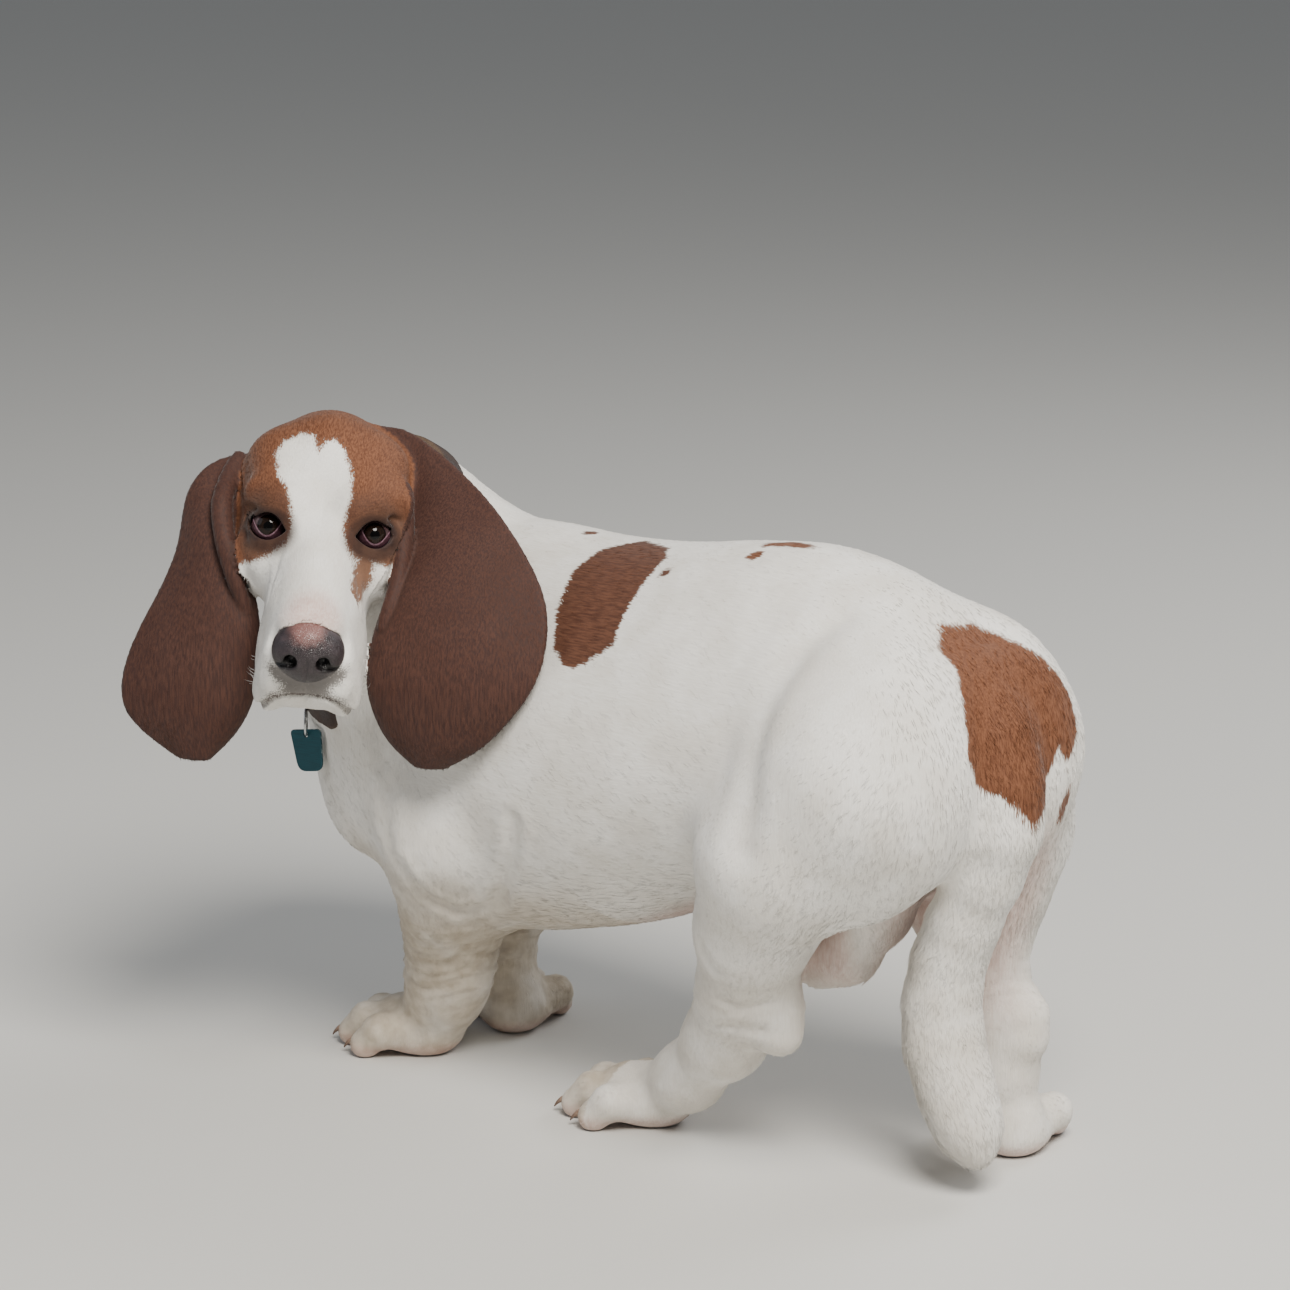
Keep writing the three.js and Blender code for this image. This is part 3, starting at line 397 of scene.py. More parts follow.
def opening(x, y, z):
    """Almond between the lids, in front of the ball."""
    across = np.abs(y)
    rise = eye_rise(x, z)
    gap = np.maximum(rise - upper_edge(across), lower_edge(across) - rise) * 0.75
    gap = gap + np.maximum(INNER_CORNER - across, 0) + np.maximum(across - OUTER_CORNER, 0)
    depth = SIGHT_X * (x - EYE_AT[0]) + SIGHT_Z * (z - EYE_AT[2])
    return np.maximum(gap, SOCKET_DEPTH - depth)


nose_body = blend(5, egg((94, 0, -34), (16.5, 18.5, 19.8)), mirrored(egg((93, 9.5, -34.5), (14, 11.8, 12.5))))

# Folds of the face, in the head's frame: (depth, width, points)
FACE_FOLDS = [
    (1.5, 2.4, [(0, 21, 11), (0, 32, 14.6), (-8, 45, 8)]),
    (0.9, 3.0, [(-12, 12, 26), (-18, 26, 27), (-28, 38, 22)]),
    (0.9, 2.4, [(9, 22, -9), (6, 32, -12.5), (-6, 45, -9)]),
    (1.2, 3.2, [(12, 22, -17), (2, 36, -22), (-14, 48, -19)]),
    (1.0, 3.4, [(14, 24, -20), (6, 38, -30), (-6, 48, -40)]),
    (0.8, 3.2, [(10, 15, -2), (26, 21, -14), (44, 25, -26)]),
    (1.1, 4.0, [(-20, 50, -30), (-14, 50, -52), (-2, 46, -70)]),
]
# Folds of the body, in the dog's frame: the left elbow, the shoulder, the flank, the legs and the chest
BODY_FOLDS = [
    (2.6, 4.2, [(56, -120, 156), (64, -104, 134), (76, -88, 124), (96, -78, 130), (112, -82, 146)]),
    (2.4, 5.0, [(146, -108, 200), (136, -102, 174), (117, -90, 150), (100, -80, 132)]),
    (1.6, 6.0, [(43, -120, 200), (44, -122, 178), (52, -118, 154)]),
    (2.4, 9.5, [(356, -48, 350), (346, -66, 337), (338, -88, 307), (338, -102, 280), (345, -114, 252),
                (346, -116, 226)]),
    (2.0, 3.2, [(58, -66, 90), (46, -62, 80), (36, -66, 76)]),
    (1.6, 4.0, [(294, -98, 152), (302, -92, 140), (316, -84, 138)]),
    (1.6, 4.0, [(296, -76, 116), (306, -78, 110), (318, -66, 112)]),
    (1.2, 3.6, [(288, -70, 100), (298, -70, 96), (310, -62, 96)]),
    (1.6, 7.0, [(10, -112, 260), (30, -116, 232), (44, -122, 206)]),
    (1.8, 6.0, [(-60, -80, 250), (-40, -110, 244), (-10, -122, 250)]),
    (1.4, 6.0, [(-80, -40, 236), (-62, -78, 226), (-30, -104, 222)]),
]


def folds_of(folds):
    """How far the folds sink the skin."""
    lines = []
    for depth, width, points in folds:
        spots = np.array(points, float)
        parts = [limb(p, q, 0.01, 0.009) for p, q in zip(points, points[1:])]
        line = near(lambda x, y, z, parts=parts: np.minimum.reduce([p(x, y, z) for p in parts]),
                    spots.min(0), spots.max(0), 4.5 * width)
        lines.append((depth, width, line))

    def sink(x, y, z):
        out = np.zeros(x.shape)
        for depth, width, line in lines:
            d = line(x, y, z)
            out += depth * (np.exp(-(d / width) ** 2) - 0.35 * np.exp(-((d - 2.1 * width) / width) ** 2))
        return out
    return sink


face_folds = mirrored(folds_of(FACE_FOLDS))
body_folds = folds_of(BODY_FOLDS)


# Where the loose skin rings a leg: (lowest, highest, how strongly)
RINGED = {"fore_left": (44, 118, 1.0), "fore_right": (44, 118, 1.0),
          "hind_left": (84, 128, 0.5), "hind_right": (96, 130, 0.5)}


def wrinkles(x, y, z):
    """Loose skin in rings about 11 mm apart round the wrists and hocks."""
    out = np.zeros(x.shape)
    for name, (low, high, size) in RINGED.items():
        at = np.array(LEGS[name]["bones"])
        bx = np.interp(z, at[::-1, 2], at[::-1, 0])
        by = np.interp(z, at[::-1, 2], at[::-1, 1])
        spread = np.exp(-(((x - bx) ** 2 + (y - by) ** 2) / 46 ** 2) ** 2)
        ring = z + 3.2 * np.sin((x - bx) / 9.5 + 0.6) + 2.4 * np.sin((y - by) / 8) + 2 * np.sin(z / 13)
        wave = 0.75 * np.sin(ring * 2 * np.pi / 11) + 0.45 * np.sin(ring * 2 * np.pi / 6.3 + (x - bx) / 7)
        out += size * wave * spread * smooth(low, low + 14, z) * (1 - smooth(high - 16, high, z))
    return out


face = blend(10, blend(20, cranium, muzzle), flews, brows)


def face_folded(x, y, z):
    return face(x, y, z) + face_folds(x, y, z)


head_bare = carve(0.8, carve(1.6, blend(2, blend(4, face_folded, eye_bed), lids), mouth_cut), opening)


def head_local(x, y, z):
    """The head with its eyeballs' beds, sunk and parted where the nose leather sits."""
    d = np.maximum(head_bare(x, y, z), -eye_ball(x, y, z))
    nose_gap = nose_body(x, y, z)
    d = d + 1.9 * smooth(7, 0, nose_gap) * smooth(-44, -34, z)
    return -soft_min(-d, nose_gap + 1.0, 1.2)


near_head = near(lambda x, y, z: head_local(*to_head(x, y, z)), (-90, -280, 260), (140, -60, 440))

# Ears: rows from the root to the tip, each (front edge, rear edge) as (across, forward, up) seen from the
# front of the head. The leather folds under along its front edge, which opens the cup at the root.
EARS = {
    "left": [((40, -40, -2), (32, -74, 46)), ((50, -26, -2), (46, -70, 50)), ((50, -14, -16), (79, -42, 30)),
             ((47, -4, -29), (101, -14, 13)), ((40, 6, -43), (120, 10, -10)), ((33, 13, -59), (134, 30, -35)),
             ((30, 17, -75), (135, 43, -59)), ((28, 19, -91), (127, 50, -84)),
             ((33, 21, -110), (112, 46, -105)),
             ((42, 23, -126), (96, 40, -123)), ((56, 25, -138), (74, 28, -138))],
    "right": [((-38, -40, -4), (-34, -72, 32)), ((-50, -30, 4), (-50, -70, 33)),
              ((-55, -24, -6), (-71, -60, 30)),
              ((-53, -18, -22), (-85, -48, 14)), ((-48, -10, -38), (-88, -38, -14)),
              ((-44, -6, -52), (-99, -30, -41)), ((-42, -4, -67), (-113, -24, -66)),
              ((-42, -4, -85), (-123, -18, -92)), ((-46, -4, -106), (-123, -14, -113)),
              ((-56, -6, -126), (-107, -12, -130)), ((-72, -8, -142), (-90, -10, -142))],
}
# The front edge of each ear is rolled outward like a hem, down to its middle: (x, y, z, radius)
ROLLS = [
    [(51, -107, 391, 2.4), (55, -110, 382, 4.4), (58, -113, 368, 5.4), (63, -120, 353, 5.2),
     (67, -127, 338, 4.8), (70, -136, 326, 4.0), (70, -143, 314, 2.8)],
    [(-48, -154, 403, 4.0), (-42, -166, 394, 5.2), (-32, -181, 382, 5.8), (-25, -187, 371, 5.8),
     (-17, -191, 357, 5.4), (-10, -192, 343, 4.8), (-7, -190, 331, 4.0), (-4, -187, 319, 2.8)],
]
EAR_ROWS = 56
EAR_COLUMNS = 34
EAR_REACH = 13            # the leather is only looked for this near


def catmull(points, t):
    """Points at shares t (0 to 1) of a centripetal Catmull-Rom curve."""
    points = np.array(points, float)
    last = len(points) - 1
    p = np.asarray(t, float) * last
    i = np.minimum(p.astype(int), last - 1)
    w = (p - i)[:, None]
    ends = np.vstack([2 * points[0] - points[1], points, 2 * points[-1] - points[-2]])
    p0, p1, p2, p3 = (ends[i + n] for n in range(4))
    d0, d1, d2 = (np.sqrt(np.linalg.norm(b - a, axis=1))[:, None] for a, b in ((p0, p1), (p1, p2), (p2, p3)))
    m1 = ((p1 - p0) / d0 - (p2 - p0) / (d0 + d1) + (p2 - p1) / d1) * d1
    m2 = ((p2 - p1) / d1 - (p3 - p1) / (d1 + d2) + (p3 - p2) / d2) * d1
    return p1 + m1 * w + (3 * (p2 - p1) - 2 * m1 - m2) * w ** 2 + (2 * (p1 - p2) + m1 + m2) * w ** 3


rolls = [near_chain(3, catmull(points, np.linspace(0, 1, 18))) for points in ROLLS]


def hems(x, y, z):
    """Distance to the rolled edges of both ears."""
    return np.minimum(*[roll(x, y, z) for roll in rolls])


facing = turned((0, 0, -45))        # from the front of the head to the dog's frame


def beside_head(rows, edge):
    """One edge of an ear, in the dog's frame."""
    return [facing @ np.array([row[edge][1], row[edge][0], row[edge][2]], float) + HEAD_AT for row in rows]


def ear_sheet(rows, mirror):
    """Middle of the ear's leather as a grid of points, root to tip and front to rear."""
    along = np.linspace(0, 1, EAR_ROWS)
    fronts = catmull(beside_head(rows, 0), along)
    rears = catmull(beside_head(rows, 1), along)
    grid = []
    for a, front, rear in zip(along, fronts, rears):
        across = rear - front
        outward = np.cross(across, (0, 0, 1))
        outward *= mirror / np.linalg.norm(outward)
        width = np.linalg.norm(across)
        fold = (1 - a) * 9 + 2
        arch = min(width * 0.12, 11) * (1 - 0.45 * a)
        spots = [front + across * share + outward * out for share, out in (
            (fold / width, -fold * 1.3), (0, -fold * 0.6), (0.04, arch * 0.25), (0.3, arch),
            (0.65, arch * 0.8), (1, -arch * 0.2))]
        line = catmull(spots, np.linspace(0, 1, EAR_COLUMNS))
        share = np.linspace(0, 1, EAR_COLUMNS)
        drape = 1.7 * np.sin(share * 6.5 + a * 2.6 + (0 if mirror > 0 else 1.7)) * smooth(0.15, 0.5, a)
        grid.append(line + outward * drape[:, None])
    grid = np.array(grid)
    for _ in range(8):
        grid[1:-1] = (grid[:-2] + 2 * grid[1:-1] + grid[2:]) / 4
    return grid


def grid_faces(rows, columns):
    a = (np.arange(rows - 1)[:, None] * columns + np.arange(columns - 1)).ravel()
    return np.stack([a, a + 1, a + columns + 1, a + columns], 1)


ear_grids = {side: ear_sheet(rows, 1 if side == "left" else -1) for side, rows in EARS.items()}
ear_trees = []
for sheet in ear_grids.values():
    spots = sheet.reshape(-1, 3)
    tree = BVHTree.FromPolygons(spots.tolist(), grid_faces(EAR_ROWS, EAR_COLUMNS).tolist())
    ear_trees.append((tree, spots.min(0) - (EAR_REACH + 1), spots.max(0) + (EAR_REACH + 1)))


def ears(x, y, z):
    """Distance to the leather of the nearer ear, and how far along it that is (0 root, 1 tip)."""
    out = np.full(x.shape, FAR)
    along = np.zeros(x.shape)
    for tree, lo, hi in ear_trees:
        inside = np.nonzero(in_box(x, y, z, lo, hi))[0]
        for n, spot in zip(inside.tolist(), np.stack([x[inside], y[inside], z[inside]], 1).tolist()):
            place, _, face, gap = tree.find_nearest(spot, EAR_REACH)
            if place is not None and gap < out[n]:
                out[n] = gap
                along[n] = face // (EAR_COLUMNS - 1) / (EAR_ROWS - 1)
    return soft_min(out - EAR_HALF, hems(x, y, z), 1.6), along


without_ears = blend(16, rear_flesh, near_head)


def flesh(x, y, z):
    """The whole skin. The ears grow out of it with a wide fillet that narrows down their length."""
    d = without_ears(x, y, z) + body_folds(x, y, z) + wrinkles(x, y, z)
    hang, along = ears(x, y, z)
    d = soft_min(d + COAT_DEPTH, hang, np.interp(along, [0, 0.12, 0.3], [12, 7, 2.0]))
    return np.maximum(d, OFF_FLOOR - z)


# Meshing

def lattice_values(field, lo, hi, step, levels):
    """Values on a fine lattice, worked out only near the surface and copied from coarser ones elsewhere."""
    cells = np.ceil((np.array(hi) - lo) / step / 2 ** levels).astype(int)
    values = None
    for level in range(levels, -1, -1):
        size = step * 2 ** level
        if values is None:
            wanted = np.ones(cells + 1, bool)
            values = np.zeros(cells + 1)
        else:
            coarse = np.abs(values)
            corners = [coarse[a:len(coarse) - 1 + a, b:coarse.shape[1] - 1 + b, c:coarse.shape[2] - 1 + c]
                       for a, b, c in np.ndindex(2, 2, 2)]
            active = np.minimum.reduce(corners) < size * 2 * 1.25
            for axis in range(3):
                values = np.repeat(values, 2, axis)
            values = values[:-1, :-1, :-1]
            wanted = np.zeros(values.shape, bool)
            n = active.shape
            for a, b, c in np.ndindex(3, 3, 3):
                wanted[a:a + 2 * n[0] - 1:2, b:b + 2 * n[1] - 1:2, c:c + 2 * n[2] - 1:2] |= active
        places = np.nonzero(wanted)
        values[wanted] = field(*[places[i] * size + lo[i] for i in range(3)])
    return values


def surface(field, lo, hi, step, levels=3):
    """Triangles of the field's surface: one point in each lattice cell that it crosses."""
    values = lattice_values(field, lo, hi, step, levels)
    values[[0, -1]] = values[:, [0, -1]] = values[:, :, [0, -1]] = FAR
    inside = values < 0
    shape = [n - 1 for n in values.shape]
    def corner(grid, a, b, c):
        return grid[a:a + shape[0], b:b + shape[1], c:c + shape[2]]
    count = sum(corner(inside, *at).astype(np.int8) for at in np.ndindex(2, 2, 2))
    cells = np.nonzero((count > 0) & (count < 8))
    total = np.zeros((len(cells[0]), 3))
    hits = np.zeros(len(cells[0]))
    for axis, first, second in np.ndindex(3, 2, 2):
        start = np.insert([first, second], axis, 0)
        end = start.copy()
        end[axis] = 1
        v0 = values[tuple(cells[i] + start[i] for i in range(3))]
        v1 = values[tuple(cells[i] + end[i] for i in range(3))]
        crossed = (v0 < 0) != (v1 < 0)
        t = np.where(crossed, v0 / np.where(crossed, v0 - v1, 1), 0)
        for i in range(3):
            total[:, i] += np.where(crossed, start[i] + (t if i == axis else 0), 0)
        hits += crossed
    points = (np.stack(cells, 1) + total / hits[:, None]) * step + lo
    number = np.full(shape, -1, np.int32)
    number[cells] = np.arange(len(points))
    rings = {0: ((0, -1, -1), (0, 0, -1), (0, 0, 0), (0, -1, 0)),
             1: ((-1, 0, -1), (-1, 0, 0), (0, 0, 0), (0, 0, -1)),
             2: ((-1, -1, 0), (0, -1, 0), (0, 0, 0), (-1, 0, 0))}
    quads = []
    for axis, ring in rings.items():
        ahead = np.take(inside, range(1, inside.shape[axis]), axis)
        here = np.take(inside, range(inside.shape[axis] - 1), axis)
        spots = np.nonzero(here != ahead)
        quad = np.stack([number[tuple(spots[i] + step_[i] for i in range(3))] for step_ in ring], 1)
        flip = ~here[spots]
        quad[flip] = quad[flip][:, ::-1]
        quads.append(quad)
    quads = np.concatenate(quads)
    p = points[quads]
    short = np.linalg.norm(p[:, 0] - p[:, 2], axis=1) <= np.linalg.norm(p[:, 1] - p[:, 3], axis=1)
    return points, np.concatenate([quads[short][:, [0, 1, 2]], quads[short][:, [0, 2, 3]],
                                   quads[~short][:, [0, 1, 3]], quads[~short][:, [1, 2, 3]]])


def main_shell(points, tris):
    """Keeps the largest shell and drops specks and closed hollows."""
    shell = np.arange(len(points))
    while True:
        lowest = shell.copy()
        np.minimum.at(lowest, tris.ravel(), np.repeat(shell[tris].min(1), 3))
        lowest = lowest[lowest]
        if (lowest == shell).all():
            break
        shell = lowest
    kept = shell == np.bincount(shell).argmax()
    number = np.cumsum(kept) - 1
    return points[kept], number[tris[kept[tris[:, 0]]]]


def slopes(field, p, e=0.5):
    """Value and gradient of a field at points, from four samples."""
    corners = np.array([(1, 1, 1), (1, -1, -1), (-1, 1, -1), (-1, -1, 1)], float)
    found = [field(*(p + corner * e).T) for corner in corners]
    return sum(found) / 4, sum(f[:, None] * corner for f, corner in zip(found, corners)) / (4 * e)


def settled(field, p, reach=1.2, e=0.5):
    """Moves points onto the field's surface."""
    value, slope = slopes(field, p, e)
    length = np.maximum(np.linalg.norm(slope, axis=1), 0.3)
    return p - slope * (np.clip(value / length, -reach, reach) / length)[:, None]


def refined(points, tris, marked):
    """Splits the marked triangles in four, and their neighbours to match."""
    edges = np.sort(tris[:, [[0, 1], [1, 2], [2, 0]]], axis=2).astype(np.int64)
    key = edges[..., 0] * len(points) + edges[..., 1]
    wanted = np.unique(key[marked])
    split = np.isin(key, wanted)
    middles = (points[wanted // len(points)] + points[wanted % len(points)]) / 2
    ids = len(points) + np.searchsorted(wanted, key)
    count = split.sum(1)
    full, m = tris[count == 3], ids[count == 3]
    out = [tris[count == 0],
           np.column_stack([full[:, 0], m[:, 0], m[:, 2]]), np.column_stack([m[:, 0], full[:, 1], m[:, 1]]),
           np.column_stack([m[:, 2], m[:, 1], full[:, 2]]), m]
    for turn in range(3):
        t, s, n = (np.roll(a, -turn, 1).T for a in (tris, split, ids))
        one = (count == 1) & s[0]
        two = (count == 2) & ~s[2]
        out += [np.column_stack([corner[chosen] for corner in corners]) for chosen, corners in (
            (one, (t[0], n[0], t[2])), (one, (n[0], t[1], t[2])),
            (two, (n[0], t[1], n[1])), (two, (t[0], n[0], n[1])), (two, (t[0], n[1], t[2])))]
    return np.vstack([points, middles]), np.concatenate(out)


# From the dog's frame to the model's: the eyes are the same points in both
lo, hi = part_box("eye_left")
SHIFT = np.array((lo + hi) / 2) * 1000 - on_head(*EYE_AT)


def placed(p):
    return (np.asarray(p) + SHIFT) / 1000


def new_object(name, data):
    thing = bpy.data.objects.new(name, data)
    bpy.context.scene.collection.objects.link(thing)
    return thing


def mesh_from(name, points, faces, is_smooth=True):
    """A mesh in the model's frame from points in the dog's."""
    mesh = bpy.data.meshes.new(name)
    faces = np.asarray(faces)
    mesh.vertices.add(len(points))
    mesh.vertices.foreach_set("co", placed(points).astype(np.float32).ravel())
    mesh.loops.add(faces.size)
    mesh.loops.foreach_set("vertex_index", faces.ravel().astype(np.int32))
    mesh.polygons.add(len(faces))
    mesh.polygons.foreach_set("loop_start", (np.arange(len(faces)) * faces.shape[1]).astype(np.int32))
    mesh.polygons.foreach_set("loop_total", np.full(len(faces), faces.shape[1], np.int32))
    mesh.update(calc_edges=True)
    mesh.polygons.foreach_set("use_smooth", np.full(len(faces), is_smooth))
    return mesh


def give(mesh, name, values):
    """Stores one number for each point."""
    layer = mesh.attributes.new(name, "FLOAT", "POINT")
    layer.data.foreach_set("value", np.asarray(values, np.float32))


def rows_of(items, name, width, kind=np.float32):
    """One property of many items, as rows of numbers."""
    out = np.zeros(len(items) * width, kind)
    items.foreach_get(name, out)
    return out.reshape(-1, width)


def plain_copy(thing, name):
    """The evaluated object as a mesh of its own."""
    mesh = bpy.data.meshes.new_from_object(thing.evaluated_get(bpy.context.evaluated_depsgraph_get()))
    bpy.data.objects.remove(thing)
    mesh.name = name
    return new_object(name, mesh)


# Materials

def linear(code):
    """sRGB hex to linear RGBA."""
    parts = [int(code[i:i + 2], 16) / 255 for i in (1, 3, 5)]
    return (*[v / 12.92 if v <= 0.04045 else ((v + 0.055) / 1.055) ** 2.4 for v in parts], 1.0)


def feed(tree, fed, **inputs):
    """Links or sets a node's inputs, which go by name, with __ for a space, or by number, as i0."""
    for key, value in inputs.items():
        socket = fed.inputs[int(key[1:]) if key[1:].isdigit() and key[0] == "i" else key.replace("__", " ")]
        if isinstance(value, bpy.types.NodeSocket):
            tree.links.new(value, socket)
        else:
            socket.default_value = value
    return fed


def node(tree, kind, settings=None, **inputs):
    """Adds a node: settings are its properties, inputs its sockets."""
    made = tree.nodes.new(kind)
    for key, value in (settings or {}).items():
        setattr(made, key, value)
    return feed(tree, made, **inputs)


def finish_named(name):
    """A material with its shader, ready for the nodes that feed it."""
    material = bpy.data.materials.new(name)
    material.use_nodes = True
    tree = material.node_tree
    shader = next(n for n in tree.nodes if n.type == "BSDF_PRINCIPLED")
    return material, tree, shader


def attribute(tree, name):
    return node(tree, "ShaderNodeAttribute", {"attribute_name": name}).outputs["Fac"]


def calc(tree, operation, a, b=0.0, c=0.0):
    return node(tree, "ShaderNodeMath", {"operation": operation}, i0=a, i1=b, i2=c).outputs[0]


def times(tree, a, b):
    return calc(tree, "MULTIPLY", a, b)


def plus(tree, a, b, share=1.0):
    """a and a share of b."""
    return calc(tree, "MULTIPLY_ADD", b, share, a)


def from_middle(tree, noise):
    return calc(tree, "SUBTRACT", noise, 0.5)


def ramp(tree, value, lo, hi, out_lo=0.0, out_hi=1.0):
    return node(tree, "ShaderNodeMapRange", {"interpolation_type": "SMOOTHSTEP"}, Value=value,
                From__Min=lo, From__Max=hi, To__Min=out_lo, To__Max=out_hi).outputs["Result"]


def mixed(tree, share, a, b, blend_type="MIX"):
    return node(tree, "ShaderNodeMix", {"data_type": "RGBA", "blend_type": blend_type},
                i0=share, i6=a, i7=b).outputs[2]


def object_place(tree):
    return node(tree, "ShaderNodeTexCoord").outputs["Object"]


def speckle(tree, size, detail=3, turn=(0, 0, 0)):
    """Noise with grains of a size in mm, or of three sizes where they are drawn out."""
    sizes = size if isinstance(size, tuple) else (size,) * 3
    where = node(tree, "ShaderNodeMapping", {"vector_type": "TEXTURE"}, Vector=object_place(tree),
                 Rotation=turn, Scale=tuple(s / 1000 for s in sizes)).outputs[0]
    return node(tree, "ShaderNodeTexNoise", {"noise_dimensions": "3D"}, Vector=where, Scale=1.0,
                Detail=detail).outputs["Fac"]


def cells(tree, size, edge):
    """Close cells of a size in mm: 0 at their edges, 1 over their middles."""
    found = node(tree, "ShaderNodeTexVoronoi", {"feature": "DISTANCE_TO_EDGE"}, Vector=object_place(tree),
                 Scale=1000 / size)
    return ramp(tree, found.outputs["Distance"], 0.0, edge)


def bumps(tree, height, strength, depth, **under):
    """Relief in the shading, its depth in mm."""
    return node(tree, "ShaderNodeBump", None, Strength=strength, Distance=depth / 1000, Height=height,
                **under).outputs[0]


def coat_finish():
    """Short smooth hound's hair: white with yellowish lower legs that also hold painted shade under the body,
    russet patches, mahogany ears, painted shade on the front of the back patch, a dark overlay that is partly
    painted shade and painted highlights on the tips of the locks. Each hair is about 0.1 mm thick. The
    strands are drawn at 1.1 mm, and at 0.9 mm on the head, as coarse as the picture needs."""
    material, tree, shader = finish_named("short_hound_hair")
    rust, ear, dark, pink, dirt_and_shade, tip, tan, smudge_and_fold_shade, grey, flow_x, flow_head = (
        attribute(tree, name) for name in (
            "rust", "ear", "dark", "pink", "dirt_and_shade", "tip", "tan", "smudge_and_fold_shade", "grey", "flow_x", "flow_head"))
    strands_x = speckle(tree, (11, 1.1, 1.1))
    strands_z = speckle(tree, (1.1, 1.1, 11))
    strands_head = speckle(tree, (7, 0.9, 0.9), turn=tuple(math.radians(a) for a in HEAD_TURN))
    lying = mixed(tree, flow_head, mixed(tree, flow_x, strands_z, strands_x), strands_head)
    strands = node(tree, "ShaderNodeSeparateColor", None, Color=lying).outputs[0]
    cloud = speckle(tree, 34)
    patchy = speckle(tree, 9)
    # How far, in mm, the hairs of one colour stray into the next
    stray = plus(tree, times(tree, from_middle(tree, strands), 9.0), from_middle(tree, patchy), 5.0)

    white = mixed(tree, ramp(tree, cloud, 0.3, 0.75), linear("#EFEDE8"), linear("#E0DCD4"))
    white = mixed(tree, ramp(tree, strands, 0.35, 0.7), mixed(tree, 0.16, white, linear("#B5AC9F")), white)
    # Yellowish dirt and painted shade on the lower legs: the white is mixed towards a darker beige
    soiled_and_shaded = mixed(tree, ramp(tree, patchy, 0.3, 0.7), linear("#BDB09C"), linear("#A09079"))
    white = mixed(tree, times(tree, dirt_and_shade, ramp(tree, cloud, 0.1, 0.6, 0.35, 0.8)), white, soiled_and_shaded)
    russet = mixed(tree, ramp(tree, strands, 0.3, 0.7), linear("#5A3521"), linear("#7C5139"))
    mahogany = mixed(tree, ramp(tree, strands, 0.3, 0.72), linear("#382420"), linear("#4E332A"))
    mahogany = mixed(tree, ramp(tree, cloud, 0.35, 0.7), mahogany,
                     mixed(tree, 0.3, mahogany, linear("#371E16")))
    # The ear attribute also carries painted shade on the front of the back patch
    brown = mixed(tree, ear, russet, mahogany)
    brown = mixed(tree, times(tree, tan, 0.75), brown, linear("#846450"))
    skin_pink = mixed(tree, ramp(tree, patchy, 0.35, 0.65), linear("#CBA095"), linear("#B88478"))
    umber = mixed(tree, ramp(tree, patchy, 0.35, 0.65), linear("#241816"), linear("#3A2A26"))
    ticking = ramp(tree, plus(tree, grey, from_middle(tree, strands), 1.6), 0.3, 0.8)
    thin_hair = ramp(tree, strands, 0.25, 0.75, 1.0, 0.6)
    uneven_darkening = ramp(tree, patchy, 0.3, 0.7, 0.97, 0.84)

    colour = mixed(tree, ramp(tree, plus(tree, rust, stray), -1.4, 1.4), white, brown)
    colour = mixed(tree, times(tree, pink, thin_hair), colour, skin_pink)
    colour = mixed(tree, times(tree, ticking, 0.8), colour, linear("#4B4341"))
    # Dark overlay: the eyes' dark surrounds and tear marks, and painted shade in the folds beside the ears'
    # rolled edges
    colour = mixed(tree, times(tree, smudge_and_fold_shade, uneven_darkening), colour, linear("#32201A"))
    colour = mixed(tree, ramp(tree, plus(tree, dark, stray, 0.2), -1.0, 1.0), colour, umber)
    # Painted highlight: the locks grow lighter towards their tips
    colour = mixed(tree, times(tree, tip, 0.12), colour, linear("#EFE7DC"), "SOFT_LIGHT")
    feed(tree, shader, Base__Color=colour, Roughness=ramp(tree, strands, 0.2, 0.8, 0.62, 0.8), IOR=1.45,
         Specular__IOR__Level=0.3, Sheen__Weight=0.12, Sheen__Roughness=0.4,
         Normal=bumps(tree, patchy, 0.15, 1.5, Normal=bumps(tree, strands, 0.4, 0.5)))
    return material


def eye_finish():
    """A wet eyeball: black pupil, brown iris with fine rays, dark rim, then the red haw of the lower lid."""
    material, tree, shader = finish_named("wet_eyeball")
    away, low = attribute(tree, "away"), attribute(tree, "low")
    rays = speckle(tree, 0.7)
    veins = speckle(tree, 1.6, detail=4)
    iris = mixed(tree, ramp(tree, rays, 0.3, 0.7), linear("#120C0A"), linear("#241811"))
    white = mixed(tree, ramp(tree, veins, 0.45, 0.62), linear("#4A3A3C"), linear("#3A2628"))
    haw = mixed(tree, ramp(tree, veins, 0.4, 0.65), linear("#927481"), linear("#7A5A66"))
    # Painted shade: the haw darkens deeper in the pocket under the lower lid
    pocket = mixed(tree, ramp(tree, veins, 0.4, 0.65), linear("#4A3038"), linear("#38242A"))
    # From the middle of the pupil outward, and from the edge of the haw downward, in mm
    colour = linear("#040303")
    for place, start, end, shade in ((away, 2.6, 3.1, iris), (away, 5.9, 6.9, linear("#0C0706")),
                                     (away, 7.2, 7.8, white), (low, -0.4, 0.4, haw), (low, 0.7, 1.5, pocket)):
        colour = mixed(tree, ramp(tree, place, start, end), colour, shade)
    feed(tree, shader, Base__Color=colour, Roughness=0.08, IOR=1.38, Specular__IOR__Level=0.22,
         Coat__Weight=0.16, Coat__Roughness=0.03)
    return material


